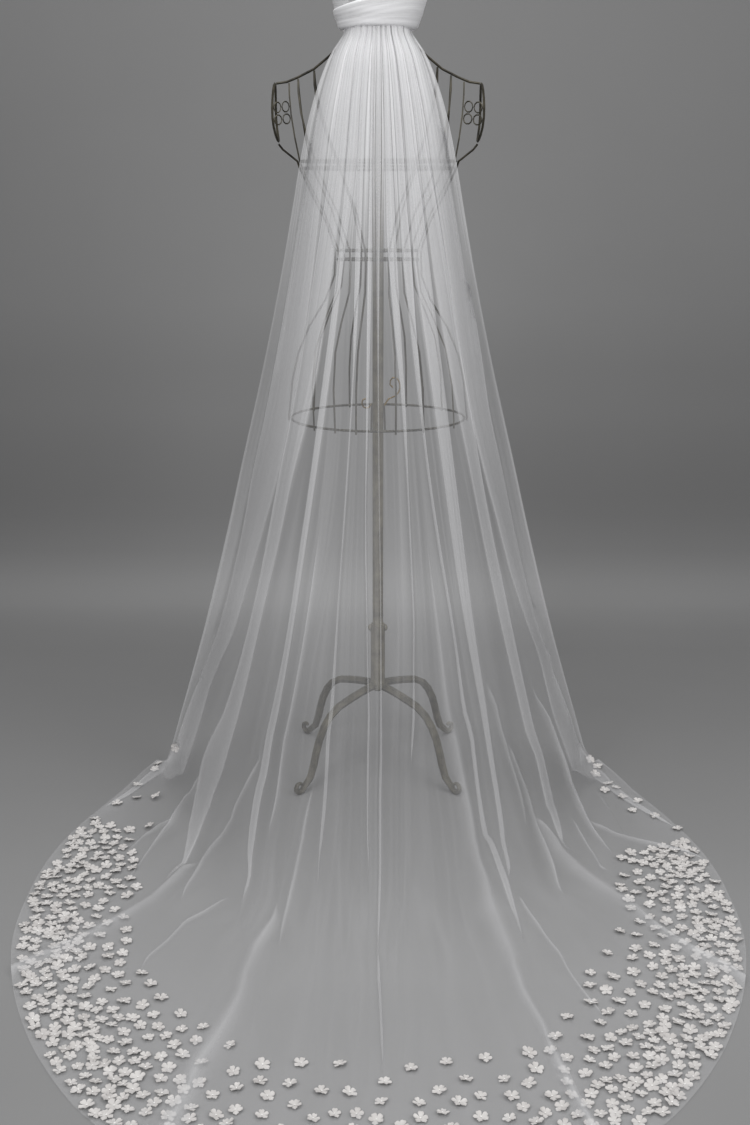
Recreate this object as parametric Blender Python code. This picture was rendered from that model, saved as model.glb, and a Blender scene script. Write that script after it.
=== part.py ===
"""A long tulle bridal veil with raised flowers round its train, on a wire dress form with a scrolled stand.

Metres, +Z up. The form's back and the train face -Y. Everything is worked out about the stand's pole, at
x = 0, y = AXIS_Y, which puts the origin under the middle of the part's box. In the veil, "share" is how far
across the cloth a point lies, from -1 at its left side edge through 0 at the middle to 1 at its right one.
"""
import math

import bmesh
import bpy
from mathutils import Vector

GAP = 0.0003  # clearance between pieces that touch on the real thing
AXIS_Y = 0.6209  # the pole, from the origin

# Wire and bar sizes of the form and its stand
RIB_RADIUS = 0.0020
RING_RADIUS = 0.0024
WAIST_RADIUS = 0.0028
SHOULDER_RADIUS = 0.0023
CURL_RADIUS = 0.0014
LEG_RADIUS = 0.0083
POLE_RADIUS = 0.0110
SLEEVE_RADIUS = 0.0150
SLEEVE_SIDES = 12
NECK_RADIUS = 0.0557
NECK_SEGMENTS = 20

# Heights on the form
HIP_Z = 0.762
WAIST_Z = (1.083, 1.100)  # at the back
WAIST_DIP = 0.010  # how much lower the waist rings are at the front
BUST_Z = (1.252, 1.265)
NECK_BOTTOM_Z = 1.488
NECK_TOP_Z = 1.612
SLEEVE_BOTTOM_Z = 0.169
SLEEVE_TOP_Z = 0.319
LEG_Z = 0.181

# The body that the wires follow: height, half width, depth to the back, depth to the front
BODY = (
    (0.740, 0.1800, 0.1500, 0.1500),
    (0.762, 0.1810, 0.1500, 0.1500),
    (0.840, 0.1720, 0.1400, 0.1420),
    (0.893, 0.1600, 0.1280, 0.1300),
    (0.945, 0.1380, 0.1100, 0.1120),
    (1.000, 0.1040, 0.0860, 0.0900),
    (1.047, 0.0860, 0.0750, 0.0790),
    (1.090, 0.0850, 0.0750, 0.0800),
    (1.150, 0.1020, 0.0860, 0.0980),
    (1.200, 0.1280, 0.0980, 0.1160),
    (1.258, 0.1540, 0.1050, 0.1260),
    (1.300, 0.1660, 0.1000, 0.1200),
    (1.350, 0.1760, 0.0840, 0.0980),
    (1.400, 0.1840, 0.0560, 0.0620),
)

# Ribs that hang from the shoulder wires: name, side (-1 back, 1 front), x at the shoulder,
# then x as a share of the half width at the bust, the waist and the hip
RIBS = (
    ("back_left_outer", -1, -0.1700, -0.960, -0.900, -0.690),
    ("back_left_middle", -1, -0.1527, -0.760, -0.630, -0.460),
    ("back_left_inner", -1, -0.1220, -0.490, -0.280, -0.236),
    ("back_right_inner", -1, 0.1130, 0.450, 0.240, 0.190),
    ("back_right_middle", -1, 0.1390, 0.720, 0.560, 0.489),
    ("back_right_outer", -1, 0.1640, 0.940, 0.900, 0.830),
    ("front_left_outer", 1, -0.1527, -0.860, -0.800, -0.740),
    ("front_left_inner", 1, -0.1220, -0.520, -0.400, -0.330),
    ("front_right_inner", 1, 0.1130, 0.520, 0.400, 0.330),
    ("front_right_outer", 1, 0.1390, 0.860, 0.800, 0.740),
)

# Shoulder wire, from the neck out to the arm ring: x, height
SHOULDER = ((0.0510, 1.4985), (0.0700, 1.4800), (0.0931, 1.4580), (0.1220, 1.4350), (0.1527, 1.4200),
            (0.1740, 1.4115), (0.1940, 1.4085))

# Arm ring: an upright oval at the end of the shoulder wire
ARM_X_TOP = 0.1975
ARM_X_MIDDLE = 0.1998
ARM_X_BOTTOM = 0.1922
ARM_Z = 1.355
ARM_HALF_HEIGHT = 0.0535
ARM_HALF_DEPTH = 0.0540
ARM_POINTS = 18

# Small curls that fill the gap from the first rib to the arm ring: height, then which part of the gap
CURLS = ((1.3660, 0.0, 0.5), (1.3645, 0.5, 1.0), (1.3438, 0.0, 0.5), (1.3420, 0.5, 1.0))
CURL_SEGMENTS = 10

# One leg, in its own upright plane: distance from the pole, height, share of the bar's full thickness
LEG = (
    (SLEEVE_RADIUS * math.cos(math.pi / SLEEVE_SIDES) + GAP, LEG_Z, 1.00), (0.0240, LEG_Z, 1.00),
    (0.0460, 0.1780, 1.00), (0.0800, 0.1715, 1.00), (0.1150, 0.1630, 1.00), (0.1400, 0.1490, 1.00),
    (0.1585, 0.1290, 1.00), (0.1720, 0.1050, 1.00), (0.1815, 0.0790, 1.00), (0.1890, 0.0530, 1.00),
    (0.1990, 0.0290, 0.92),
)
FOOT_SCROLL = (0.2290, 0.0170)  # the scroll's middle: distance from the pole, height
FOOT_TURN = (0.0125, 0.0070)  # the scroll's radius where it starts and where it ends
FOOT_START = 205.0  # degrees round the scroll where the leg joins it
FOOT_SWEEP = 290.0
FOOT_STEPS = 9
FOOT_BAR = (0.80, 0.42)  # thickness of the bar along the scroll
LEG_ANGLES = (45.0, 135.0, 225.0, 315.0)

# The closed hub that the wrap is wound on: distance from the pole, height
NECK_OUTLINE = ((0.0, NECK_BOTTOM_Z), (0.0460, NECK_BOTTOM_Z), (0.0500, 1.500), (NECK_RADIUS, 1.530),
                (NECK_RADIUS, NECK_TOP_Z - 0.005), (NECK_RADIUS - 0.005, NECK_TOP_Z), (0.0, NECK_TOP_Z))
SLEEVE_FLOOR_Z = SLEEVE_BOTTOM_Z + 0.012  # the pole stands on this, inside the sleeve
SLEEVE_CHAMFER = (0.008, 0.006)
KNOB_RADIUS = 0.0078
KNOB_WIDTH = 0.75  # its width, as a share of its height
KNOB_DROP = 0.0086  # how far the knobs' middles lie below the sleeve's top

# Scrolls on the pole above the hip ring: distance from the pole's middle, height
ORNAMENT_RIGHT = ((0.022, 0.800), (0.036, 0.806), (0.045, 0.822), (0.040, 0.840), (0.028, 0.842),
                  (0.024, 0.830), (0.030, 0.823))
ORNAMENT_LEFT = ((0.020, 0.781), (0.030, 0.784), (0.032, 0.796), (0.025, 0.800))
ORNAMENT_START_Z = (0.790, 0.786)  # where the left one and the right one leave the pole
ORNAMENT_RADIUS = 0.0016

# The veil's wall, and the smooth sheet that it follows
CLOTH = 0.0018
# height, half width at the side edges, depth at the middle, depth at the side edges
FALL = (
    (0.000, 0.4580, 0.7600, 0.0050),
    (0.100, 0.4289, 0.7020, 0.0080),
    (0.315, 0.3660, 0.5760, 0.0150),
    (0.533, 0.3096, 0.4590, 0.0250),
    (0.678, 0.2750, 0.3850, 0.0330),
    (0.869, 0.2285, 0.2960, 0.0450),
    (0.978, 0.2040, 0.2510, 0.0530),
    (1.081, 0.1825, 0.2120, 0.0620),
    (1.193, 0.1610, 0.1740, 0.0730),
    (1.250, 0.1505, 0.1560, 0.0790),
    (1.320, 0.1360, 0.1360, 0.0800),
    (1.387, 0.1175, 0.1180, 0.0720),
    (1.450, 0.0925, 0.0960, 0.0480),
    (1.500, 0.0625, 0.0625, 0.0180),
    (1.520, 0.0595, 0.0595, 0.0120),
)
# Share at which the cloth turns from its round back into the flat strip along each side edge: height, share
TURN = ((0.0, 0.955), (0.6, 0.900), (1.2, 0.870), (1.52, 0.860))
ROUNDNESS = 2.3  # 2 would be an ellipse in plan

# The floor: the side edges and the middle reach it like this: share, height at which the cloth starts to
# bend out, how far past the bend it lies flat
BEND = ((0.00, 0.150, 0.150), (0.60, 0.130, 0.120), (0.85, 0.100, 0.080), (1.00, 0.055, 0.030))
HEM_CENTRE_Y = -0.620  # the hem is measured round this point, from the pole
# Where each part of the cloth's width reaches the hem: share, degrees round from the front
SPREAD = ((0.00, 0.0), (0.20, 12.5), (0.39, 26.0), (0.537, 38.0), (0.689, 68.0), (0.768, 92.0),
          (0.900, 119.0), (1.00, 142.5))
# degrees round from the front, distance to the hem
HEM = ((0.0, 0.795), (6.0, 0.794), (34.0, 0.724), (48.0, 0.682), (60.0, 0.655), (74.0, 0.638), (90.0, 0.632),
       (104.0, 0.644), (118.0, 0.668), (130.0, 0.704), (142.5, 0.792))
# Where the band of flowers starts, measured the same way
FLOWER_BAND = ((0.0, 0.470), (23.0, 0.480), (41.0, 0.455), (66.0, 0.446), (98.0, 0.440), (120.0, 0.560),
               (142.5, 0.745))

# The folds are flat pleats that spread from the wrap. "down" is how far down the cloth a point lies: 0 at its
# top, 1 where it starts to bend onto the floor, 2 where it lies flat and 3 at the hem.
FOLD_DOWN = (0.04, 0.20, 0.35, 0.52, 0.73, 0.95, 1.50, 2.00, 3.00)
# Name, down where it starts and ends, height, share of its middle at each FOLD_DOWN, its width in share there
FOLDS = (
    ("side_left", 0.00, 1.95, 0.012,
     (-0.790, -0.780, -0.781, -0.770, -0.800, -0.911, -0.930, -0.930, -0.930),
     (0.240, 0.160, 0.162, 0.160, 0.085, 0.042, 0.020, 0.010, 0.010)),
    ("left_1", 0.93, 2.35, 0.006,
     (-0.645, -0.645, -0.669, -0.682, -0.735, -0.810, -0.855, -0.860, -0.850), ()),
    ("left_2", 0.00, 2.95, 0.013,
     (-0.530, -0.502, -0.553, -0.610, -0.675, -0.745, -0.735, -0.728, -0.700),
     (0.200, 0.184, 0.156, 0.104, 0.034, 0.060, 0.020, 0.016, 0.010)),
    ("left_3", 0.90, 2.40, 0.006,
     (-0.420, -0.400, -0.440, -0.497, -0.540, -0.585, -0.625, -0.612, -0.605), ()),
    ("left_4", 0.00, 1.15, 0.012,
     (-0.342, -0.338, -0.380, -0.417, -0.469, -0.517, -0.520, -0.520, -0.520),
     (0.135, 0.105, 0.050, 0.040, 0.025, 0.022, 0.010, 0.010, 0.010)),
    ("left_5", 0.42, 1.05, 0.008,
     (-0.262, -0.266, -0.330, -0.348, -0.377, -0.451, -0.472, -0.472, -0.472), ()),
    ("left_6", 0.88, 2.62, 0.010,
     (-0.251, -0.257, -0.270, -0.280, -0.290, -0.310, -0.385, -0.392, -0.365), ()),
    ("left_7", 0.00, 1.10, 0.010,
     (-0.185, -0.214, -0.201, -0.206, -0.220, -0.237, -0.240, -0.240, -0.240),
     (0.110, 0.072, 0.044, 0.018, 0.018, 0.008, 0.008, 0.008, 0.008)),
    ("left_8", 0.00, 1.30, 0.009,
     (-0.081, -0.082, -0.079, -0.083, -0.060, -0.048, -0.044, -0.044, -0.044),
     (0.073, 0.036, 0.034, 0.011, 0.011, 0.009, 0.008, 0.008, 0.008)),
    ("middle", 0.00, 2.62, 0.011,
     (0.013, -0.004, -0.001, 0.004, 0.010, 0.013, 0.006, 0.000, 0.002),
     (0.090, 0.092, 0.046, 0.013, 0.011, 0.008, 0.008, 0.008, 0.008)),
    ("right_1", 0.00, 1.00, 0.010,
     (0.135, 0.142, 0.166, 0.199, 0.192, 0.158, 0.154, 0.154, 0.154),
     (0.130, 0.120, 0.075, 0.024, 0.015, 0.010, 0.008, 0.008, 0.008)),
    ("right_2", 0.76, 2.85, 0.014, (0.205, 0.208, 0.236, 0.262, 0.322, 0.382, 0.429, 0.430, 0.378), ()),
    ("right_3", 0.00, 1.15, 0.011,
     (0.275, 0.262, 0.302, 0.332, 0.396, 0.461, 0.478, 0.478, 0.478),
     (0.130, 0.095, 0.065, 0.015, 0.013, 0.010, 0.008, 0.008, 0.008)),
    ("right_4", 0.00, 1.05, 0.013,
     (0.418, 0.405, 0.437, 0.469, 0.490, 0.505, 0.507, 0.507, 0.507),
     (0.140, 0.120, 0.125, 0.082, 0.040, 0.008, 0.008, 0.008, 0.008)),
    ("right_5", 1.15, 2.42, 0.007, (0.491, 0.470, 0.503, 0.514, 0.515, 0.522, 0.540, 0.549, 0.515), ()),
    ("right_6", 0.78, 1.05, 0.006, (0.494, 0.475, 0.507, 0.519, 0.535, 0.606, 0.630, 0.630, 0.630), ()),
    ("right_7", 0.84, 2.85, 0.012, (0.497, 0.480, 0.512, 0.535, 0.580, 0.650, 0.723, 0.733, 0.690), ()),
    ("right_8", 0.00, 1.25, 0.012,
     (0.578, 0.565, 0.615, 0.656, 0.711, 0.751, 0.763, 0.763, 0.763),
     (0.150, 0.150, 0.134, 0.100, 0.038, 0.018, 0.010, 0.010, 0.010)),
    ("right_9", 0.72, 2.30, 0.006, (0.664, 0.650, 0.692, 0.720, 0.755, 0.850, 0.868, 0.845, 0.800), ()),
    ("side_right", 0.00, 1.95, 0.012,
     (0.795, 0.745, 0.773, 0.790, 0.830, 0.925, 0.930, 0.930, 0.930),
     (0.240, 0.170, 0.145, 0.110, 0.065, 0.030, 0.020, 0.010, 0.010)),
)
# How full the folds are: down, share of a fold's height. Under the wrap they are fine gathers.
FULLNESS = ((0.00, 0.28), (0.04, 0.28), (0.20, 0.40), (0.35, 0.60), (0.52, 0.85), (0.73, 1.00), (2.00, 1.00),
            (3.00, 0.80))
FADE_DOWN = 0.18  # a fold rises and dies away over this much of the way down
GATHER = ((0.00, 0.75), (0.20, 0.60), (0.45, 0.0), (3.00, 0.0))  # depth of the dip in a wide fold's middle
OPEN_GAP = 0.030  # folds that are closer than this share have a shallower valley between them
SIDE_STRIPS = (0.950, 0.967)  # lines of the sheet between the last fold and the side edge
FALL_ROWS = (0.0, 0.012, 0.036, 0.07, 0.11, 0.16, 0.22, 0.29, 0.38, 0.48, 0.59, 0.70, 0.81, 0.90, 1.0, 1.25,
             1.5, 1.75, 2.0)

# The train and its flowers
TRAIN_COLUMNS = 84
HEM_SAMPLES = 800  # steps that the hem's length is measured in
PLAIN_ROWS = 2  # rows of the sheet between the floor line and the flowers
FLOWER_ROWS = 6
HEM_STRIP = 0.012  # plain net outside the last row of flowers
PETALS = 5
PETAL_TIP = 0.0105
PETAL_ROOT = 0.0052
FLOWER_HEIGHT = 0.0036
ROOT_LIFT = 0.10  # of a flower's height, between the petals
TIP_LIFT = 0.55
HEART_LIFT = 0.80
FLOWER_ROOM = 1.12  # a flower needs this many times its petals' length round its middle
FLOWER_EVERY = 2  # one cell in two carries a flower

# Neck wrap, one row for each turn that shows: name, height of the lower edge at the left and the right, of
# the upper edge at the left and the right, distance of the inside from the neck's middle, thickness, then
# how far its inside and its thickness grow for each metre of height
WRAPS = (
    ("wrap_under", 1.5340, 1.5240, 1.5880, 1.5660, 0.0561, 0.0116, 0.00, 0.34),
    ("wrap_over", 1.5035, 1.5035, 1.5400, 1.5800, 0.0682, 0.0060, 0.34, 0.00),
    ("wrap_top", 1.5905, 1.5905, 1.6080, 1.6080, 0.0561, 0.0260, 0.00, 0.00),
)
WRAP_FOOT_Z = 1.5035
WRAP_ARCH = 0.0050  # how much higher a lower edge is over the middle than at the sides
WRAP_OUTLINE = ((0.0, -1.0), (0.60, -0.90), (1.0, -0.40), (1.0, 0.40), (0.60, 0.90), (0.0, 1.0))


def clear_scene():
    for item in list(bpy.data.objects):
        bpy.data.objects.remove(item, do_unlink=True)


def material(name, colour, roughness, metallic=0.0, alpha=1.0):
    made = bpy.data.materials.new(name)
    made.use_nodes = True
    shader = made.node_tree.nodes["Principled BSDF"]
    shader.inputs["Base Color"].default_value = (*colour, 1.0)
    shader.inputs["Roughness"].default_value = roughness
    shader.inputs["Metallic"].default_value = metallic
    shader.inputs["Alpha"].default_value = alpha
    made.diffuse_color = (*colour, 1.0)
    return made


def between(rows, x, column=1):
    """Reads a table at x, on a smooth curve through one of its columns that never overshoots a row."""
    if x <= rows[0][0]:
        return rows[0][column]
    if x >= rows[-1][0]:
        return rows[-1][column]
    last = len(rows) - 1
    i = next(k for k in range(last) if x <= rows[k + 1][0])

    def slope(k):
        return (rows[k + 1][column] - rows[k][column]) / (rows[k + 1][0] - rows[k][0])

    def tangent(k):
        if k == 0 or k == last:
            return slope(min(k, last - 1))
        before, after = slope(k - 1), slope(k)
        if before * after <= 0:
            return 0.0
        return 2 * before * after / (before + after)

    width = rows[i + 1][0] - rows[i][0]
    t = (x - rows[i][0]) / width
    a, b = rows[i][column], rows[i + 1][column]
    return (
        a * (1 + 2 * t) * (1 - t) ** 2
        + b * t * t * (3 - 2 * t)
        + width * (tangent(i) * t * (1 - t) ** 2 + tangent(i + 1) * t * t * (t - 1))
    )


def even(points, count, closed=False):
    """Reads count points, evenly spaced along a smooth curve through the given ones."""
    points = [Vector(p) for p in points]
    n = len(points)
    spans = n if closed else n - 1

    def at(k):
        if closed:
            return points[k % n]
        if k < 0:
            return points[0] * 2 - points[1]
        if k >= n:
            return points[-1] * 2 - points[-2]
        return points[k]

    fine = []
    for k in range(spans):
        p0, p1, p2, p3 = at(k - 1), at(k), at(k + 1), at(k + 2)
        for step in range(12):
            t = step / 12
            fine.append(0.5 * (2 * p1 + (p2 - p0) * t + (2 * p0 - 5 * p1 + 4 * p2 - p3) * t * t
                               + (3 * p1 - p0 - 3 * p2 + p3) * t ** 3))
    fine.append(points[0] if closed else points[-1])
    lengths = [0.0]
    for a, b in zip(fine, fine[1:]):
        lengths.append(lengths[-1] + (b - a).length)
    total = lengths[-1]
    picked = []
    k = 0
    for step in range(count):
        want = total * step / (count if closed else count - 1)
        while k < len(lengths) - 2 and lengths[k + 1] < want:
            k += 1
        share = (want - lengths[k]) / max(lengths[k + 1] - lengths[k], 1e-12)
        picked.append(fine[k].lerp(fine[k + 1], min(share, 1.0)))
    return picked


def wire(name, points, radius, finish, closed=False, resolution=0, thickness=None, at_pole=True):
    """A round bar along the points: a curve with a bevel, which thickness can taper."""
    curve = bpy.data.curves.new(name, "CURVE")
    curve.dimensions = "3D"
    curve.bevel_depth = radius
    curve.bevel_resolution = resolution
    curve.use_fill_caps = not closed
    spline = curve.splines.new("POLY")
    spline.points.add(len(points) - 1)
    for k, place in enumerate(points):
        spline.points[k].co = (*place, 1.0)
        if thickness:
            spline.points[k].radius = thickness[k]
    spline.use_cyclic_u = closed
    spline.use_smooth = True
    curve.materials.append(finish)
    made = bpy.data.objects.new(name, curve)
    bpy.context.collection.objects.link(made)
    if at_pole:
        made.location = (0.0, AXIS_Y, 0.0)
    return made


def solid(name, bm, finish, smooth_angle=35.0):
    """Turns a bmesh into a named object, in the pole's frame, with its faces pointing out."""
    bmesh.ops.recalc_face_normals(bm, faces=bm.faces)
    mesh = bpy.data.meshes.new(name)
    bm.to_mesh(mesh)
    bm.free()
    mesh.shade_smooth()
    mesh.set_sharp_from_angle(angle=math.radians(smooth_angle))
    mesh.materials.append(finish)
    made = bpy.data.objects.new(name, mesh)
    bpy.context.collection.objects.link(made)
    made.location = (0.0, AXIS_Y, 0.0)
    return made


def turned(name, outline, finish, segments):
    """Spins an outline of distance and height about the pole. Points on the pole close its ends."""
    bm = bmesh.new()
    verts = [bm.verts.new((r, 0.0, z)) for r, z in outline]
    edges = [bm.edges.new(pair) for pair in zip(verts, verts[1:])]
    bmesh.ops.spin(bm, geom=verts + edges, cent=(0, 0, 0), axis=(0, 0, 1), angle=2 * math.pi,
                   steps=segments, use_merge=True)
    bmesh.ops.remove_doubles(bm, verts=bm.verts, dist=1e-6)
    bmesh.ops.dissolve_degenerate(bm, edges=bm.edges, dist=1e-7)
    return solid(name, bm, finish)


# The form


def body_point(side, share, z):
    """A point on the form's body, at a share of its half width, on its back (-1) or its front (1)."""
    half_width = between(BODY, z, 1)
    depth = between(BODY, z, 2 if side < 0 else 3)
    return Vector((share * half_width, side * depth * math.sqrt(max(0.0, 1 - share * share)), z))


def rib_path(side, top_x, bust_share, waist_share, hip_share):
    """Points up one rib, from just under the hip ring to just under the shoulder wire."""
    shares = ((HIP_Z - 0.006, hip_share), (WAIST_Z[0], waist_share), (BUST_Z[1], bust_share))
    waist = (WAIST_Z[0] - WAIST_DIP, *WAIST_Z)
    heights = (HIP_Z - 0.006, HIP_Z, 0.84, 0.91, 0.965, 1.02, *waist, 1.17, 1.22, *BUST_Z)
    points = [body_point(side, between(shares, z), z) for z in heights]
    wire_rows = tuple((x, z) for x, z in SHOULDER)
    top_z = between(wire_rows, abs(top_x)) - SHOULDER_RADIUS - RIB_RADIUS / 2 - GAP
    start = points[-1]
    depth = abs(start.y)
    for t in (0.3, 0.6, 0.85, 1.0):
        z = start.z + (top_z - start.z) * t
        x = start.x + (top_x - start.x) * math.sin(t * math.pi / 2)
        y = side * max(depth * math.cos(t * math.pi / 2) ** 0.8, RIB_RADIUS + GAP)
        points.append(Vector((x, y, z)))
    return points


def at_height(points, z):
    """The point of a rising path at height z."""
    k = next(i for i in range(len(points) - 1) if points[i + 1].z >= z)
    return points[k].lerp(points[k + 1], (z - points[k].z) / (points[k + 1].z - points[k].z))


def ring(name, back_z, finish, segments, radius=RING_RADIUS, dip=0.0):
    """A round wire just inside the ribs, lower at the front by its dip."""
    inset = RIB_RADIUS + radius + GAP
    points = []
    for k in range(segments):
        turn = 2 * math.pi * k / segments
        z = back_z - dip * (1 + math.sin(turn)) / 2
        half_width = between(BODY, z, 1) - inset
        depth = between(BODY, z, 2 if math.sin(turn) < 0 else 3) - inset
        points.append(Vector((half_width * math.cos(turn), depth * math.sin(turn), z)))
    wire(name, points, radius, finish, closed=True)


def arm_ring_point(side, turn):
    """A point on the arm ring. turn is 0 at its top, and grows towards the front."""
    up = math.cos(turn)
    out = ARM_X_MIDDLE + (ARM_X_TOP - ARM_X_MIDDLE if up > 0 else ARM_X_BOTTOM - ARM_X_MIDDLE) * up * up
    return Vector((side * out, ARM_HALF_DEPTH * math.sin(turn), ARM_Z + ARM_HALF_HEIGHT * up))


def dress_form(iron):
    for name, *row in RIBS:
        wire("rib_" + name, rib_path(*row), RIB_RADIUS, iron)
    ring("ring_hip", HIP_Z, iron, 28)
    for word, z in zip(("lower", "upper"), WAIST_Z):
        ring("ring_waist_" + word, z, iron, 16, WAIST_RADIUS, WAIST_DIP)
    for word, z in zip(("lower", "upper"), BUST_Z):
        ring("ring_bust_" + word, z, iron, 24)
    for word, side in (("left", -1), ("right", 1)):
        outer = ARM_X_TOP - 2 * SHOULDER_RADIUS / 2 - GAP
        points = [(side * min(x, outer), 0.0, z) for x, z in SHOULDER[:-1]]
        points.append((side * outer, 0.0, ARM_Z + ARM_HALF_HEIGHT))
        wire("shoulder_" + word, points, SHOULDER_RADIUS, iron)
        turns = [2 * math.pi * k / ARM_POINTS for k in range(ARM_POINTS)]
        wire("arm_ring_" + word, [arm_ring_point(side, t) for t in turns], SHOULDER_RADIUS, iron, closed=True)
        side_rib(word, side, iron)
        curls(word, side, iron)


def side_rib(word, side, finish):
    """The rib down the form's side, from under the arm ring to the hip."""
    bottom = ARM_Z - ARM_HALF_HEIGHT - SHOULDER_RADIUS - RIB_RADIUS - GAP
    points = [Vector((side * between(BODY, z, 1), 0.0, z))
              for z in (HIP_Z - 0.006, HIP_Z, 0.84, 0.893, 0.945, 1.0, 1.047, *WAIST_Z, 1.15, 1.2, *BUST_Z)]
    points.append(Vector((side * (ARM_X_BOTTOM - 0.008), 0.0, bottom - 0.010)))
    points.append(Vector((side * ARM_X_BOTTOM, 0.0, bottom)))
    wire("rib_side_" + word, points, RIB_RADIUS, finish)


def curls(word, side, finish):
    """Small round curls that fill the back of the shoulder, between the arm ring and the first rib."""
    first_rib = rib_path(*next(row[1:] for row in RIBS if row[0] == f"back_{word}_outer"))
    for k, (z, near, far) in enumerate(CURLS):
        inner = at_height(first_rib, z)
        outer = arm_ring_point(side, -math.acos((z - ARM_Z) / ARM_HALF_HEIGHT))
        across = (outer - inner).normalized()
        inner = inner + across * (RIB_RADIUS + GAP / 2)
        outer = outer - across * (SHOULDER_RADIUS + GAP / 2)
        centre = inner.lerp(outer, (near + far) / 2)
        radius = (outer - inner).length * (far - near) / 2 - CURL_RADIUS - GAP / 2
        points = []
        for step in range(CURL_SEGMENTS):
            turn = 2 * math.pi * step / CURL_SEGMENTS
            points.append(centre + across * radius * math.cos(turn) + Vector((0, 0, radius * math.sin(turn))))
        wire(f"curl_{word}_{k + 1}", points, CURL_RADIUS, finish, closed=True)


def stand(iron, brass):
    turned("neck", NECK_OUTLINE, iron, NECK_SEGMENTS)
    bore = POLE_RADIUS + GAP
    chamfer, rise = SLEEVE_CHAMFER
    turned("sleeve", ((0.0, SLEEVE_BOTTOM_Z), (chamfer, SLEEVE_BOTTOM_Z),
                      (SLEEVE_RADIUS, SLEEVE_BOTTOM_Z + rise), (SLEEVE_RADIUS, SLEEVE_TOP_Z),
                      (bore, SLEEVE_TOP_Z), (bore, SLEEVE_FLOOR_Z), (0.0, SLEEVE_FLOOR_Z)), iron,
           SLEEVE_SIDES)
    turned("pole", ((0.0, SLEEVE_FLOOR_Z + GAP), (POLE_RADIUS, SLEEVE_FLOOR_Z + GAP),
                    (POLE_RADIUS, NECK_BOTTOM_Z - GAP), (0.0, NECK_BOTTOM_Z - GAP)), iron, 12)
    reach = between(BODY, HIP_Z, 2) - RIB_RADIUS - 3 * RING_RADIUS - 2 * GAP
    for word, side in (("left", -1), ("right", 1)):
        knob = bmesh.new()
        bmesh.ops.create_icosphere(knob, subdivisions=2, radius=KNOB_RADIUS)
        bmesh.ops.scale(knob, vec=(KNOB_WIDTH, 1.0, 1.0), verts=knob.verts)
        bmesh.ops.translate(knob, vec=(side * SLEEVE_RADIUS, 0.0, SLEEVE_TOP_Z - KNOB_DROP), verts=knob.verts)
        cut = bmesh.ops.bisect_plane(
            knob, geom=[*knob.verts, *knob.edges, *knob.faces],
            plane_co=(side * (SLEEVE_RADIUS + GAP), 0.0, 0.0), plane_no=(side, 0.0, 0.0), clear_inner=True)
        bmesh.ops.holes_fill(knob, edges=[e for e in cut["geom_cut"] if isinstance(e, bmesh.types.BMEdge)])
        solid("knob_" + word, knob, iron)
        bar_x = side * (POLE_RADIUS + RIB_RADIUS + GAP)
        wire("hip_bar_" + word, [(bar_x, -reach, HIP_Z), (bar_x, reach, HIP_Z)], RIB_RADIUS, iron)
    start = POLE_RADIUS + ORNAMENT_RADIUS + GAP
    scrolls = (("left", -1, ORNAMENT_LEFT, 9), ("right", 1, ORNAMENT_RIGHT, 14))
    for (word, side, route, count), start_z in zip(scrolls, ORNAMENT_START_Z):
        places = [(side * x, 0.0, z) for x, z in ((start, start_z), *route)]
        wire("ornament_" + word, even(places, count), ORNAMENT_RADIUS, brass)
    legs(iron)


def legs(finish):
    rows = list(LEG)
    for k in range(FOOT_STEPS + 1):
        t = k / FOOT_STEPS
        turn = math.radians(FOOT_START + t * FOOT_SWEEP)
        radius = FOOT_TURN[0] + (FOOT_TURN[1] - FOOT_TURN[0]) * t
        rows.append((FOOT_SCROLL[0] + radius * math.cos(turn), FOOT_SCROLL[1] + radius * math.sin(turn),
                     FOOT_BAR[0] + (FOOT_BAR[1] - FOOT_BAR[0]) * t))
    for k, angle in enumerate(LEG_ANGLES):
        made = wire(f"leg_{k + 1}", [(r, 0.0, z) for r, z, t in rows], LEG_RADIUS, finish, resolution=1,
                    thickness=[t for r, z, t in rows])
        made.rotation_euler = (0.0, 0.0, math.radians(angle))


# The veil


def hanging(share, z):
    """The smooth hanging sheet, before its folds."""
    half_width, depth, edge = (between(FALL, z, k) for k in (1, 2, 3))
    turn = between(TURN, z)
    if abs(share) < turn:
        bulge = math.sqrt(1 - (abs(share) / turn) ** ROUNDNESS)
    else:
        bulge = 0.0
    return Vector((share * half_width, -(edge + (depth - edge) * bulge), z))


def hem_point(share):
    angle = math.copysign(between(SPREAD, abs(share)), share)
    radius = between(HEM, abs(angle))
    turn = math.radians(angle)
    return Vector((radius * math.sin(turn), HEM_CENTRE_Y - radius * math.cos(turn), 0.0))


def train_point(share, reach):
    """The flat train. reach is 0 where the hanging sheet would meet the floor, and 1 at the hem."""
    return hanging(share, 0.0).lerp(hem_point(share), reach)


def floor_line(share):
    """How far out along the train the cloth lies flat, as a reach."""
    length = (hem_point(share) - hanging(share, 0.0)).length
    return min(0.6, between(BEND, abs(share), 2) / max(length, 1e-6))


def bend(share, t):
    """The bend from hanging to lying: t is 0 at its top and 1 on the floor."""
    top = hanging(share, between(BEND, abs(share), 1))
    corner = hanging(share, 0.0)
    end = train_point(share, floor_line(share))
    return top * (1 - t) ** 2 + corner * 2 * t * (1 - t) + end * t * t


def sheet_point(share, down):
    """The smooth sheet at a distance down the cloth, in the pole's frame."""
    if down <= 1:
        top = FALL[-1][0]
        return hanging(share, top + (between(BEND, abs(share), 1) - top) * down)
    if down <= 2:
        return bend(share, down - 1)
    start = floor_line(share)
    return train_point(share, start + (1 - start) * (down - 2))


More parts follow.
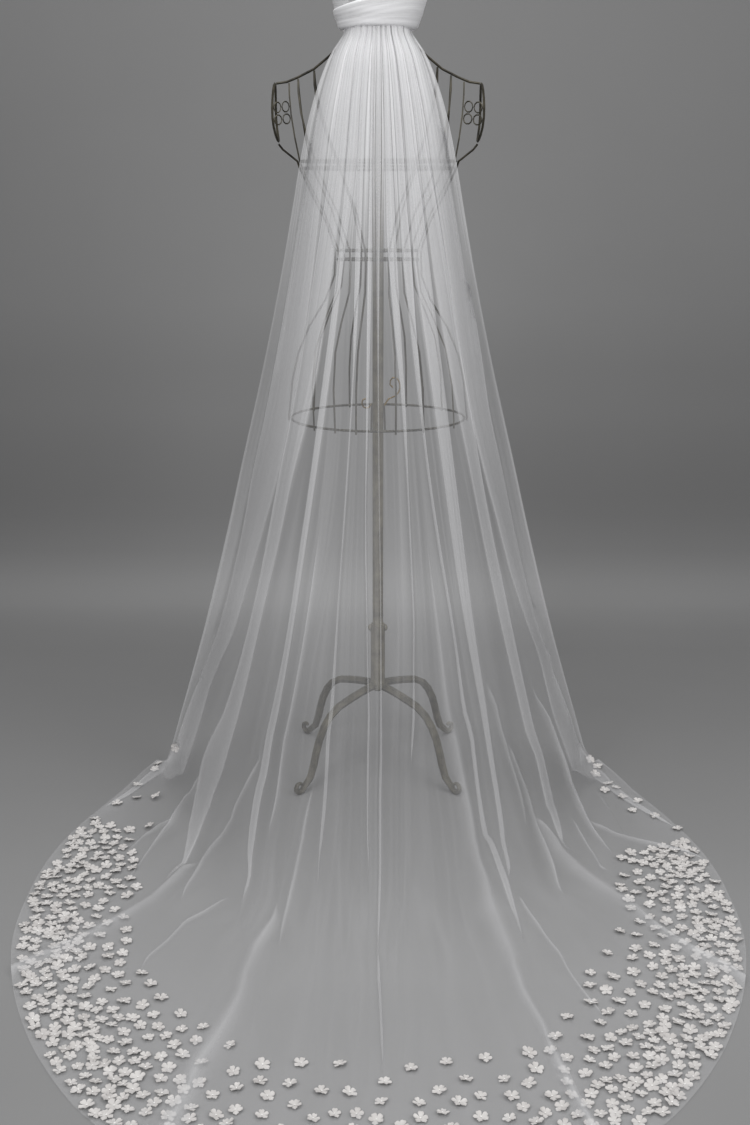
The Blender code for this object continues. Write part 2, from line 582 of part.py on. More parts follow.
def sheet_normal(share, down):
    """Out of the sheet, away from the form, and up where it lies on the floor."""
    if down >= 2:
        return Vector((0, 0, 1))
    step = 0.004
    across = sheet_point(min(share + step, 1.0), down) - sheet_point(max(share - step, -1.0), down)
    along = sheet_point(share, min(down + step, 2.0)) - sheet_point(share, max(down - step, 0.0))
    return along.cross(across).normalized()


def fold_middle(fold, down):
    return between(list(zip(FOLD_DOWN, fold[4])), down)


def fold_width(fold, down):
    return between(list(zip(FOLD_DOWN, fold[5])), down) if fold[5] else 0.0


def fold_height(fold, down):
    """Height of a fold above the smooth sheet. It rises and dies away smoothly at its ends."""
    name, start, end, height = fold[:4]
    rise = 1.0 if start == 0 else min(max((down - start) / FADE_DOWN, 0.0), 1.0)
    fall = min(max((end - down) / FADE_DOWN, 0.0), 1.0)
    return height * between(FULLNESS, down) * math.sin(rise * math.pi / 2) * math.sin(fall * math.pi / 2)


def profile(down):
    """One row across the pleated cloth: share and height of each point, from the left edge to the right."""
    crests = []
    for fold in FOLDS:
        middle, width, height = fold_middle(fold, down), fold_width(fold, down), fold_height(fold, down)
        if fold[5]:
            dip = height * (1 - between(GATHER, down))
            crests.append([(middle - width / 2, height), (middle, dip), (middle + width / 2, height)])
        else:
            crests.append([(middle, height)])
    row = [(-1.0, 0.0)] + [(-strip, 0.0) for strip in reversed(SIDE_STRIPS)] + crests[0]
    for near, far in zip(crests, crests[1:]):
        (left, left_height), (right, right_height) = near[-1], far[0]
        closed = 1 - min((right - left) / OPEN_GAP, 1.0)
        row.append(((left + right) / 2, closed * (left_height + right_height) / 2))
        row += far
    return row + [(strip, 0.0) for strip in SIDE_STRIPS] + [(1.0, 0.0)]


def seam_outward(share):
    """Square to the floor line, towards the train."""
    step = 0.004
    along = sheet_point(min(share + step, 1.0), 2.0) - sheet_point(max(share - step, -1.0), 2.0)
    return Vector((along.y, -along.x, 0.0)).normalized()


def veil_fall(finish):
    """The hanging stretch: a pleated wall, down to where it lies on the floor."""
    bm = bmesh.new()
    outside, inside = [], []
    for down in FALL_ROWS:
        outer_row, inner_row = [], []
        for share, height in profile(down):
            base = sheet_point(share, down)
            normal = sheet_normal(share, down)
            if down == FALL_ROWS[-1]:
                base = base - seam_outward(share) * GAP
            outer_row.append(bm.verts.new(base + normal * (height + CLOTH)))
            inner_row.append(bm.verts.new(base + normal * height))
        outside.append(outer_row)
        inside.append(inner_row)
    wall(bm, list(zip(*outside)), list(zip(*inside)))
    return solid("veil_fall", bm, finish)


def wall(bm, outside, inside):
    """Joins two grids of points into one closed wall."""
    count, rows = len(outside), len(outside[0])
    for k in range(count - 1):
        for r in range(rows - 1):
            bm.faces.new((outside[k][r], outside[k][r + 1], outside[k + 1][r + 1], outside[k + 1][r]))
            bm.faces.new((inside[k][r], inside[k + 1][r], inside[k + 1][r + 1], inside[k][r + 1]))
        for r in (0, rows - 1):
            bm.faces.new((outside[k][r], outside[k + 1][r], inside[k + 1][r], inside[k][r]))
    for k in (0, count - 1):
        for r in range(rows - 1):
            bm.faces.new((outside[k][r], outside[k][r + 1], inside[k][r + 1], inside[k][r]))


def zip_rows(bm, near, far):
    """Fills the strip between two rows of (position along it, vertex) that have different counts."""
    i = j = 0
    while i < len(near) - 1 or j < len(far) - 1:
        if j == len(far) - 1 or (i < len(near) - 1 and near[i + 1][0] <= far[j + 1][0]):
            bm.faces.new((near[i][1], near[i + 1][1], far[j][1]))
            i += 1
        else:
            bm.faces.new((near[i][1], far[j + 1][1], far[j][1]))
            j += 1


def train_columns():
    """Shares of the train's columns at the hem, evenly spaced, with the nearest one moved onto each fold."""
    fine = [2 * k / HEM_SAMPLES - 1 for k in range(HEM_SAMPLES + 1)]
    lengths = [0.0]
    for a, b in zip(fine, fine[1:]):
        lengths.append(lengths[-1] + (hem_point(b) - hem_point(a)).length)
    shares = []
    for k in range(TRAIN_COLUMNS + 1):
        want = lengths[-1] * k / TRAIN_COLUMNS
        shares.append(fine[next((n for n, value in enumerate(lengths) if value >= want), HEM_SAMPLES)])
    shares[0], shares[-1] = -1.0, 1.0
    on_fold = [None] * len(shares)
    for fold in train_folds():
        k = min(range(1, len(shares) - 1), key=lambda n: abs(shares[n] - fold[4][-1]))
        shares[k] = fold[4][-1]
        on_fold[k] = fold
    return list(zip(shares, on_fold))


def train_folds():
    return [fold for fold in FOLDS if fold[2] > 2]


def drift(share, down):
    """Where the column that reaches the hem at a share lies further up, as it keeps pace with the folds."""
    at_hem = [-1.0] + [fold[4][-1] for fold in train_folds()] + [1.0]
    here = [-1.0] + [fold_middle(fold, down) for fold in train_folds()] + [1.0]
    return between(list(zip(at_hem, here)), share)


def train_rows(share):
    """How far down each row of the train lies at a share, from the floor line out to the hem."""
    start = floor_line(share)
    length = (hem_point(share) - hanging(share, 0.0)).length
    angle = between(SPREAD, abs(share))
    band = between(HEM, angle) - between(FLOWER_BAND, angle)
    strip = 1 - min(HEM_STRIP / length, 0.2)
    first = max(start + 0.12 * (strip - start), 1 - band / length)
    reaches = [start + (first - start) * k / PLAIN_ROWS for k in range(1, PLAIN_ROWS + 1)]
    reaches += [first + (strip - first) * k / FLOWER_ROWS for k in range(1, FLOWER_ROWS + 1)]
    return [2 + (reach - start) / (1 - start) for reach in reaches] + [3.0]


def veil_train(finish):
    """The stretch on the floor: flat underneath, with its folds and flowers raised on top."""
    bm = bmesh.new()
    seam, seam_foot = [], []
    for share, height in profile(2.0):
        base = sheet_point(share, 2.0)
        seam.append((share, bm.verts.new(base + Vector((0, 0, CLOTH + height)))))
        seam_foot.append((share, bm.verts.new(base)))
    picked = train_columns()
    grid = []
    for hem_share, fold in picked:
        line = []
        for down in train_rows(hem_share):
            share = drift(hem_share, down)
            height = fold_height(fold, down) if fold else 0.0
            line.append((share, bm.verts.new(sheet_point(share, down) + Vector((0, 0, CLOTH + height)))))
        grid.append(line)
    rim = [(share, bm.verts.new(sheet_point(share, 3.0))) for share, fold in picked]
    by_row = list(zip(*grid))
    zip_rows(bm, seam, by_row[0])
    zip_rows(bm, seam_foot, rim)
    grid = [[vert for share, vert in line] for line in grid]
    for r in range(len(by_row) - 1):
        for k in range(len(grid) - 1):
            corners = (grid[k][r], grid[k][r + 1], grid[k + 1][r + 1], grid[k + 1][r])
            flower_row = PLAIN_ROWS - 1 <= r < PLAIN_ROWS - 1 + FLOWER_ROWS
            if flower_row and (k + 2 * r) % FLOWER_EVERY == 0 and roomy(corners):
                raised_flower(bm, corners, turn=k * 1.7 + r)
            else:
                bm.faces.new(corners)
    for k in range(len(seam) - 1):
        bm.faces.new((seam[k][1], seam[k + 1][1], seam_foot[k + 1][1], seam_foot[k][1]))
    for k in range(len(rim) - 1):
        bm.faces.new((grid[k][-1], grid[k + 1][-1], rim[k + 1][1], rim[k][1]))
    for k in (0, -1):
        bm.faces.new([seam[k][1]] + grid[k] + [rim[k][1], seam_foot[k][1]])
    return solid("veil_train", bm, finish)


def roomy(corners):
    """True if a flower fits between the four corners."""
    centre = sum((v.co for v in corners), Vector()) / 4
    sides = zip(corners, corners[1:] + corners[:1])
    gaps = []
    for a, b in sides:
        along = (b.co - a.co).normalized()
        away = centre - a.co
        gaps.append((away - along * away.dot(along)).length)
    return min(gaps) > PETAL_TIP * FLOWER_ROOM


def raised_flower(bm, corners, turn):
    """Five petals raised out of one cell of the sheet."""
    centre = sum((v.co for v in corners), Vector()) / 4
    normal = (corners[2].co - corners[0].co).cross(corners[3].co - corners[1].co).normalized()
    if normal.z < 0:
        normal = -normal
    first = (corners[1].co - corners[0].co).normalized()
    second = normal.cross(first)
    ring_verts = []
    for k in range(2 * PETALS):
        angle = turn + math.pi * k / PETALS
        radius = PETAL_ROOT if k % 2 else PETAL_TIP
        lift = FLOWER_HEIGHT * (ROOT_LIFT if k % 2 else TIP_LIFT)
        ring_verts.append(bm.verts.new(centre + (first * math.cos(angle) + second * math.sin(angle)) * radius
                                       + normal * lift))
    heart = bm.verts.new(centre + normal * FLOWER_HEIGHT * HEART_LIFT)
    for k in range(2 * PETALS):
        bm.faces.new((ring_verts[k], ring_verts[(k + 1) % (2 * PETALS)], heart))

    def angle_of(vert):
        away = vert.co - centre
        return math.atan2(away.dot(second), away.dot(first))

    outer = sorted(corners, key=angle_of)
    inner = sorted(ring_verts, key=angle_of)
    inner_row = [(angle_of(v), v) for v in inner]
    inner_row.append((inner_row[0][0] + 2 * math.pi, inner_row[0][1]))
    outer_row = [(angle_of(v), v) for v in outer]
    outer_row.append((outer_row[0][0] + 2 * math.pi, outer_row[0][1]))
    zip_rows(bm, inner_row, outer_row)


def neck_wrap(name, lower_left, lower_right, upper_left, upper_right, inside, thickness, lean, swell, finish):
    """One turn of the cloth wound round the neck: a flat rounded band."""
    bm = bmesh.new()
    rings = []
    for k in range(NECK_SEGMENTS):
        turn = 2 * math.pi * k / NECK_SEGMENTS
        x, y = math.cos(turn), math.sin(turn)
        lower = lower_left + (lower_right - lower_left) * (x + 1) / 2 + WRAP_ARCH * (1 - x * x)
        upper = upper_left + (upper_right - upper_left) * (x + 1) / 2
        loop = []
        for out, up in WRAP_OUTLINE:
            z = (lower + upper) / 2 + up * (upper - lower) / 2
            rise = z - WRAP_FOOT_Z
            radius = inside + lean * rise + out * (thickness + swell * rise)
            loop.append(bm.verts.new((radius * x, radius * y, z)))
        rings.append(loop)
    for k in range(NECK_SEGMENTS):
        near, far = rings[k], rings[(k + 1) % NECK_SEGMENTS]
        for m in range(len(WRAP_OUTLINE)):
            n = (m + 1) % len(WRAP_OUTLINE)
            bm.faces.new((near[m], near[n], far[n], far[m]))
    return solid(name, bm, finish)


def build():
    clear_scene()
    iron = material("antique_iron", (0.055, 0.045, 0.035), 0.55, 0.75)
    brass = material("old_brass", (0.30, 0.22, 0.10), 0.45, 0.85)
    tulle = material("white_tulle", (0.90, 0.90, 0.91), 0.85)
    dress_form(iron)
    stand(iron, brass)
    veil_fall(tulle)
    veil_train(tulle)
    for row in WRAPS:
        neck_wrap(*row, tulle)


build()
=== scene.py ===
import math
import random

import bmesh
import bpy
import numpy as np
from mathutils import Euler, Matrix, Vector


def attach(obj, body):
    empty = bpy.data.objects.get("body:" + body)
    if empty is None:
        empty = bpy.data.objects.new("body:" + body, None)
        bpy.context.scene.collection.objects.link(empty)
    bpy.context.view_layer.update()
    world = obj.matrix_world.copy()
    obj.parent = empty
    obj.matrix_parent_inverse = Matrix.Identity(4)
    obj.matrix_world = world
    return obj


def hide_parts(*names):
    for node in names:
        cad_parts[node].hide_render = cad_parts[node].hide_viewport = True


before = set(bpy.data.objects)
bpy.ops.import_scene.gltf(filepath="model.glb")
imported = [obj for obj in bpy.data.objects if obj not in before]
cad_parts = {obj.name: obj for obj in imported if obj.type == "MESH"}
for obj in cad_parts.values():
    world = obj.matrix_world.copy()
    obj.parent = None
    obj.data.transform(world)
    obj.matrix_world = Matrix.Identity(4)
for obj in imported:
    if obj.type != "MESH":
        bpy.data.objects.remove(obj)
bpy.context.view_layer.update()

AXIS_Y = 0.6209  # the stand's pole; the cloth's tables are in the pole's frame

# The photograph's camera, for an image of 750 x 1125
FOCAL_PIXELS = 1500.0
IMAGE_WIDTH = 750.0
SENSOR = 36.0
CAMERA = (-0.006, -2.3871, 1.345)
CAMERA_TURN = 73.5  # degrees up from straight down

# ---- The cloth's form: "share" across it (-1 left edge, 1 right edge), "down" along it: 0 at its top,
# 1 where it starts to bend onto the floor, 2 where it lies flat, 3 at the hem
FALL = np.array((  # height, half width, depth in the middle, depth at the edges
    (0.000, 0.4580, 0.7600, 0.0050), (0.100, 0.4289, 0.7020, 0.0080), (0.315, 0.3660, 0.5760, 0.0150),
    (0.533, 0.3096, 0.4590, 0.0250), (0.678, 0.2750, 0.3850, 0.0330), (0.869, 0.2285, 0.2960, 0.0450),
    (0.978, 0.2040, 0.2510, 0.0530), (1.081, 0.1825, 0.2120, 0.0620), (1.193, 0.1610, 0.1740, 0.0730),
    (1.250, 0.1505, 0.1560, 0.0790), (1.320, 0.1360, 0.1360, 0.0800), (1.387, 0.1175, 0.1180, 0.0720),
    (1.450, 0.0925, 0.0960, 0.0480), (1.500, 0.0625, 0.0625, 0.0180), (1.520, 0.0595, 0.0595, 0.0120)))
TOP_Z = 1.520
# By height, the share where the cloth's arc comes round to its edge, and the power that rounds the arc
TURN = np.array(((0.0, 0.955), (0.6, 0.900), (1.2, 0.870), (1.52, 0.860)))
ROUNDNESS = 2.3
# By share, how high the bend starts and how far past the foot it ends
BEND = np.array(((0.00, 0.150, 0.150), (0.60, 0.130, 0.120), (0.85, 0.100, 0.080), (1.00, 0.055, 0.030)))
LONGEST_BEND = 0.6  # of the way from the foot to the hem
HEM_CENTRE_Y = -0.620
# By share, the degrees round from the front to its place on the hem
SPREAD = np.array(((0.00, 0.0), (0.20, 12.5), (0.39, 26.0), (0.537, 38.0), (0.689, 68.0), (0.768, 92.0),
                   (0.900, 119.0), (1.00, 142.5)))
# By degrees, how far the hem, and the flower band's inner side, are from the hem's centre
HEM = np.array(((0.0, 0.795), (6.0, 0.794), (34.0, 0.724), (48.0, 0.682), (60.0, 0.655), (74.0, 0.638),
                (90.0, 0.632), (104.0, 0.644), (118.0, 0.668), (130.0, 0.704), (142.5, 0.792)))
FLOWER_BAND = np.array(((0.0, 0.470), (23.0, 0.480), (41.0, 0.455), (66.0, 0.446), (98.0, 0.440),
                        (120.0, 0.560), (142.5, 0.745)))

# Pleats are flat folds of three layers: name, height, rows of "down", left side and right side
PLEATS = (
    ("side left", 0.010,
     ((0, -0.93, -0.66), (0.156, -0.885, -0.66), (0.299, -0.87, -0.655), (0.441, -0.865, -0.66),
      (0.512, -0.86, -0.67), (0.582, -0.87, -0.69), (0.673, -0.855, -0.743), (0.728, -0.862, -0.766),
      (0.797, -0.88, -0.792), (0.837, -0.9, -0.825), (0.881, -0.92, -0.862), (0.93, -0.965, -0.872),
      (1.0, -0.982, -0.892), (1.17, -0.985, -0.922), (1.5, -0.983, -0.942), (1.894, -0.978, -0.954),
      (2.263, -0.968, -0.952), (2.581, -0.952, -0.941), (2.95, -0.925, -0.925))),
    ("left 2", 0.012,
     ((0, -0.62, -0.46), (0.159, -0.575, -0.4), (0.303, -0.62, -0.44), (0.446, -0.645, -0.495),
      (0.518, -0.66, -0.535), (0.589, -0.676, -0.578), (0.66, -0.684, -0.61), (0.731, -0.694, -0.645),
      (0.887, -0.752, -0.686), (0.927, -0.784, -0.701), (0.957, -0.797, -0.711), (0.995, -0.794, -0.734),
      (1.191, -0.786, -0.747), (1.407, -0.76, -0.742), (1.553, -0.737, -0.733), (1.799, -0.734, -0.734),
      (2.236, -0.714, -0.714), (2.667, -0.711, -0.711))),
    ("left 4", 0.010,
     ((0, -0.43, -0.3), (0.16, -0.385, -0.262), (0.304, -0.397, -0.342), (0.449, -0.427, -0.385),
      (0.593, -0.447, -0.418), (0.687, -0.468, -0.44), (0.78, -0.487, -0.461), (0.862, -0.517, -0.486),
      (0.897, -0.529, -0.501), (0.932, -0.531, -0.504), (0.967, -0.542, -0.518), (0.995, -0.541, -0.519),
      (1.126, -0.534, -0.518), (1.307, -0.509, -0.504), (1.503, -0.514, -0.514), (1.784, -0.52, -0.52),
      (2.14, -0.509, -0.509), (2.476, -0.491, -0.491), (2.82, -0.49, -0.49))),
    ("left 7", 0.008,
     ((0, -0.27, -0.17), (0.233, -0.243, -0.18), (0.305, -0.232, -0.18), (0.4, -0.215, -0.186),
      (0.451, -0.205, -0.195), (0.596, -0.214, -0.206), (0.741, -0.225, -0.219), (0.847, -0.232, -0.218),
      (0.887, -0.241, -0.227), (0.93, -0.237, -0.225), (0.962, -0.237, -0.225), (0.995, -0.239, -0.231),
      (1.085, -0.239, -0.236), (1.312, -0.231, -0.231), (2.053, -0.19, -0.19), (2.544, -0.149, -0.149))),
    ("left 8", 0.007,
     ((0, -0.14, -0.06), (0.16, -0.104, -0.066), (0.306, -0.104, -0.066), (0.525, -0.09, -0.075),
      (0.597, -0.086, -0.078), (0.678, -0.078, -0.07), (0.743, -0.066, -0.06), (0.802, -0.059, -0.053),
      (0.865, -0.051, -0.041), (0.92, -0.052, -0.043), (0.975, -0.049, -0.043), (1.03, -0.044, -0.039),
      (1.296, -0.04, -0.04), (2.02, -0.036, -0.036), (2.519, -0.035, -0.035))),
    ("middle", 0.008,
     ((0, -0.035, 0.05), (0.161, -0.04, 0.04), (0.307, -0.02, 0.013), (0.453, -0.006, 0.004),
      (0.598, 0.001, 0.009), (0.744, 0.008, 0.016), (0.9, 0.006, 0.017), (0.955, 0.001, 0.012),
      (1.085, 0.001, 0.011), (1.392, -0.003, 0.005), (1.618, -0.004, -0.001), (1.804, -0.004, 0.004),
      (2.015, 0, 0.007), (2.281, 0.005, 0.01), (2.426, 0.009, 0.009))),
    ("right 1", 0.008,
     ((0, 0.08, 0.19), (0.124, 0.085, 0.175), (0.269, 0.09, 0.188), (0.342, 0.12, 0.193),
      (0.429, 0.158, 0.2), (0.487, 0.18, 0.207), (0.596, 0.192, 0.2), (0.741, 0.19, 0.197),
      (0.8, 0.178, 0.184), (0.865, 0.162, 0.172), (0.897, 0.149, 0.156), (0.92, 0.144, 0.144),
      (1.025, 0.134, 0.134), (1.628, 0.114, 0.114), (2.524, 0.073, 0.073))),
    ("right 3", 0.010,
     ((0, 0.215, 0.32), (0.232, 0.235, 0.322), (0.305, 0.244, 0.335), (0.377, 0.28, 0.332),
      (0.45, 0.305, 0.334), (0.522, 0.325, 0.336), (0.594, 0.341, 0.349), (0.666, 0.361, 0.369),
      (0.738, 0.386, 0.393), (0.796, 0.401, 0.407), (0.857, 0.406, 0.419), (0.892, 0.429, 0.441),
      (0.937, 0.43, 0.44), (0.977, 0.431, 0.444), (1.05, 0.453, 0.469), (1.191, 0.471, 0.487),
      (1.352, 0.482, 0.498), (1.523, 0.486, 0.496), (1.688, 0.483, 0.489), (1.824, 0.479, 0.479),
      (2.221, 0.439, 0.439), (2.511, 0.429, 0.429), (2.784, 0.43, 0.43))),
    ("right 4", 0.012,
     ((0, 0.345, 0.47), (0.159, 0.345, 0.452), (0.232, 0.348, 0.485), (0.304, 0.355, 0.496),
      (0.376, 0.385, 0.5), (0.448, 0.41, 0.505), (0.52, 0.426, 0.506), (0.592, 0.437, 0.506),
      (0.665, 0.448, 0.506), (0.737, 0.462, 0.506), (0.88, 0.498, 0.517), (0.932, 0.503, 0.517),
      (0.965, 0.506, 0.519), (1.055, 0.504, 0.513), (1.191, 0.509, 0.516), (1.312, 0.509, 0.509),
      (1.518, 0.525, 0.525), (1.905, 0.541, 0.541), (2.353, 0.514, 0.514), (2.664, 0.498, 0.498),
      (2.882, 0.495, 0.495))),
    ("right 8", 0.012,
     ((0, 0.5, 0.62), (0.159, 0.5, 0.605), (0.23, 0.522, 0.645), (0.302, 0.54, 0.675), (0.374, 0.56, 0.69),
      (0.445, 0.58, 0.7), (0.517, 0.602, 0.705), (0.588, 0.627, 0.705), (0.659, 0.653, 0.713),
      (0.729, 0.675, 0.725), (0.877, 0.707, 0.741), (0.907, 0.711, 0.744), (0.947, 0.734, 0.761),
      (0.982, 0.734, 0.761), (1.09, 0.745, 0.765), (1.226, 0.746, 0.757), (1.332, 0.738, 0.74),
      (1.513, 0.762, 0.762), (1.814, 0.774, 0.774), (2.218, 0.748, 0.748), (2.536, 0.731, 0.731),
      (2.97, 0.726, 0.726))),
    ("side right", 0.010,
     ((0, 0.66, 0.93), (0.156, 0.65, 0.885), (0.298, 0.692, 0.9), (0.44, 0.706, 0.86), (0.511, 0.715, 0.84),
      (0.581, 0.742, 0.85), (0.65, 0.775, 0.857), (0.72, 0.797, 0.868), (0.788, 0.83, 0.888),
      (0.852, 0.865, 0.918), (0.914, 0.868, 0.955), (0.97, 0.892, 0.975),
      (1.1, 0.920, 0.984), (1.407, 0.940, 0.982), (1.884, 0.950, 0.974), (2.3, 0.936, 0.956),
      (2.65, 0.914, 0.925), (2.95, 0.890, 0.890))),
)
# Creases are single ridges between the pleats: name, the pleat that lies to its left, rows of "down", share
# and width in millimetres
CREASES = (
    ("left floor 1", "side left",
     ((1.397, -0.848, 0), (1.523, -0.861, 10), (1.653, -0.869, 11), (1.854, -0.865, 8), (2.033, -0.841, 7),
      (2.155, -0.816, 0))),
    ("left 1", "side left",
     ((0.97, -0.782, 0), (0.992, -0.809, 14), (1.116, -0.833, 19), (1.307, -0.849, 18), (1.508, -0.851, 12),
      (1.683, -0.843, 9), (1.864, -0.819, 7), (2.03, -0.784, 5), (2.185, -0.751, 0))),
    ("left floor 2", "left 2",
     ((1.427, -0.701, 0), (1.513, -0.719, 13), (1.623, -0.73, 25), (1.829, -0.724, 28), (2.013, -0.712, 31),
      (2.218, -0.703, 32), (2.406, -0.698, 32), (2.617, -0.695, 28), (2.88, -0.696, 28))),
    ("left 3", "left 2",
     ((0.917, -0.542, 0), (0.937, -0.565, 5), (0.962, -0.595, 6), (0.99, -0.625, 6), (1.101, -0.649, 6),
      (1.266, -0.679, 10), (1.402, -0.689, 8), (1.618, -0.688, 6), (1.814, -0.67, 0))),
    ("left floor 3", "left 2",
     ((1.487, -0.557, 0), (1.548, -0.578, 4), (1.714, -0.606, 6), (1.92, -0.624, 8), (2.123, -0.615, 7),
      (2.236, -0.614, 6), (2.333, -0.604, 0))),
    ("left 5", "left 4",
     ((0.464, -0.358, 0), (0.558, -0.346, 0), (0.63, -0.361, 0), (0.702, -0.375, 4), (0.775, -0.394, 4),
      (0.86, -0.422, 4), (0.905, -0.438, 4), (0.95, -0.438, 4), (0.977, -0.445, 4), (0.997, -0.458, 0))),
    ("left 6", "left 4",
     ((0, -0.278, 0), (0.16, -0.248, 0), (0.305, -0.298, 0), (0.595, -0.26, 0), (0.87, -0.391, 0),
      (0.902, -0.381, 0), (0.957, -0.387, 0), (1.121, -0.389, 0), (1.367, -0.381, 0), (1.492, -0.377, 10),
      (1.608, -0.389, 17), (1.779, -0.402, 24), (1.98, -0.399, 27), (2.158, -0.374, 24), (2.276, -0.37, 27),
      (2.419, -0.371, 29), (2.536, -0.377, 31), (2.657, -0.369, 29), (2.752, -0.366, 27))),
    ("left thread", "left 4",
     ((0.932, -0.285, 0), (0.965, -0.305, 4), (0.997, -0.315, 5), (1.156, -0.326, 6), (1.347, -0.336, 6),
      (1.523, -0.34, 5), (1.714, -0.334, 0))),
    ("right 2", "right 1",
     ((0, 0.205, 0), (0.305, 0.217, 0), (0.45, 0.258, 0), (0.595, 0.292, 0), (0.776, 0.33, 6),
      (0.855, 0.339, 9), (0.89, 0.354, 14), (0.935, 0.367, 15), (0.98, 0.384, 15), (1.121, 0.396, 15),
      (1.251, 0.411, 20), (1.422, 0.417, 26), (1.623, 0.427, 32), (1.854, 0.425, 32), (2.028, 0.406, 22),
      (2.175, 0.391, 18), (2.323, 0.39, 15), (2.456, 0.379, 15), (2.559, 0.375, 20), (2.707, 0.37, 16))),
    ("right floor 1", "right 4",
     ((1.447, 0.504, 0), (1.492, 0.518, 4), (1.573, 0.535, 5), (1.784, 0.549, 5), (2.015, 0.549, 6),
      (2.18, 0.534, 5), (2.313, 0.529, 5), (2.411, 0.528, 4), (2.474, 0.526, 0))),
    ("right 6", "right 4",
     ((0.842, 0.552, 7), (0.86, 0.57, 8), (0.892, 0.579, 7), (0.92, 0.595, 8), (0.952, 0.609, 6),
      (0.977, 0.62, 6), (0.995, 0.623, 3), (1.06, 0.617, 0))),
    ("right 5", "right 4",
     ((0.912, 0.601, 0), (0.927, 0.61, 8), (0.95, 0.636, 8), (0.982, 0.661, 10), (1.08, 0.679, 10),
      (1.236, 0.688, 11), (1.402, 0.683, 8), (1.563, 0.666, 6), (1.658, 0.661, 0))),
    ("right 7", "right 4",
     ((1.035, 0.681, 0), (1.09, 0.691, 15), (1.231, 0.713, 22), (1.397, 0.731, 31), (1.583, 0.736, 39),
      (1.894, 0.732, 39), (2.138, 0.719, 36), (2.266, 0.71, 31), (2.388, 0.701, 24), (2.536, 0.694, 25),
      (2.709, 0.69, 27), (2.872, 0.689, 25), (3, 0.686, 24))),
    ("right thread 1", "right 8",
     ((1.271, 0.829, 0), (1.407, 0.825, 6), (1.508, 0.821, 5), (1.668, 0.806, 4), (1.809, 0.779, 4),
      (1.91, 0.756, 0))),
    ("right 9", "right 8",
     ((0.867, 0.792, 0), (0.912, 0.829, 15), (0.947, 0.845, 15), (0.99, 0.86, 20), (1.216, 0.871, 20),
      (1.497, 0.865, 13), (1.704, 0.849, 8), (1.854, 0.83, 4), (1.945, 0.815, 0))),
    ("right floor 2", "right 8",
     ((1.538, 0.876, 0), (1.719, 0.875, 10), (1.975, 0.864, 13), (2.318, 0.853, 14), (2.596, 0.848, 11),
      (2.832, 0.839, 8), (2.972, 0.831, 0))),
    ("right thread 2", "right 8",
     ((1.698, 0.938, 0), (1.814, 0.927, 4), (1.94, 0.91, 2), (2.04, 0.877, 3), (2.1, 0.856, 0))),
)
# How many plain layers deep the cloth is on its way down, which its fine gathers make deeper at the top:
# between the pleats, in each of a pleat's three layers, and how far the pleats' folded edges show
DEPTH = np.array((
    (0.0, 20.0, 6.8, 0.0), (0.045, 16.5, 5.8, 0.05), (0.10, 12.3, 4.3, 0.12), (0.16, 9.0, 3.4, 0.25),
    (0.22, 5.6, 2.8, 0.40), (0.29, 2.7, 2.3, 0.50), (0.355, 1.5, 2.1, 0.55), (0.43, 1.15, 1.85, 0.55),
    (0.50, 1.2, 1.6, 0.5), (0.62, 1.5, 1.4, 0.45), (0.75, 1.5, 1.2, 0.45), (0.87, 1.2, 1.05, 0.6),
    (0.96, 1.05, 1.0, 0.9), (1.5, 1.0, 1.0, 1.0), (2.1, 1.05, 1.05, 1.0), (2.5, 1.55, 1.55, 1.0),
    (3.0, 1.8, 1.8, 1.0)))
# How much sheerer the sides are than the rest by "down", or denser where it is below 0, and where they start
SIDE_SHEER = np.array((
    (0.0, 0.65), (0.12, 0.60), (0.20, 0.42), (0.28, 0.0), (0.36, -0.10), (0.55, -0.35), (0.70, -0.60),
    (0.95, -0.60), (1.2, -0.2), (1.5, 0.0), (3.0, 0.0)))
SIDE_SHARE, SIDE_BLEND = 0.82, 0.14
EDGE_LAYERS, EDGE_SHARE = 2.0, 0.985  # the two side edges show as bright lines
# How much of its height a pleat has by "down"
FULLNESS = np.array((
    (0.0, 0.30), (0.2, 0.45), (0.52, 0.65), (0.80, 0.65), (1.0, 0.55), (2.0, 0.55), (3.0, 0.40)))
ROWS = np.concatenate((np.linspace(0, 0.1, 11), np.linspace(0.1, 1, 60)[1:], np.linspace(1, 2, 32)[1:],
                       np.linspace(2, 3, 42)[1:]))
CLOTH_LIFT = 0.0022  # how far the cloth's lowest layer lies above the floor
LANE_POINTS = 5  # points across the plain cloth between two folds
NARROWEST = 0.0012  # of "share", half the width that a closed pleat keeps
OPEN_PLEAT = 0.004  # of "share", the width from which a pleat is fully open
APART = 0.0006  # of "share", between neighbouring folds
# How far a pleat lies over the plain cloth beside it, as a part of its own width and at most of that cloth's
PLEAT_OVERLAP, LANE_OVERLAP = 0.10, 0.35
CREASE_HEIGHT = 0.010
CREASE_RISE, CREASE_FOOT = 0.55, 1.2  # a crease's height and half its foot, in its own widths
OPEN_CREASE = 0.004  # width in metres from which a crease is fully raised
CREASES_APART = 0.06  # of the way across their lane
LANE_MARGIN = 0.02
RUNS_TO_HEM = 2.7  # a crease that reaches this far down runs on to the hem
STEP = 0.004  # of "share" or "down", to read the cloth's slope
LEVEL_FROM = 1.9  # "down" from which the way out of the cloth turns straight up


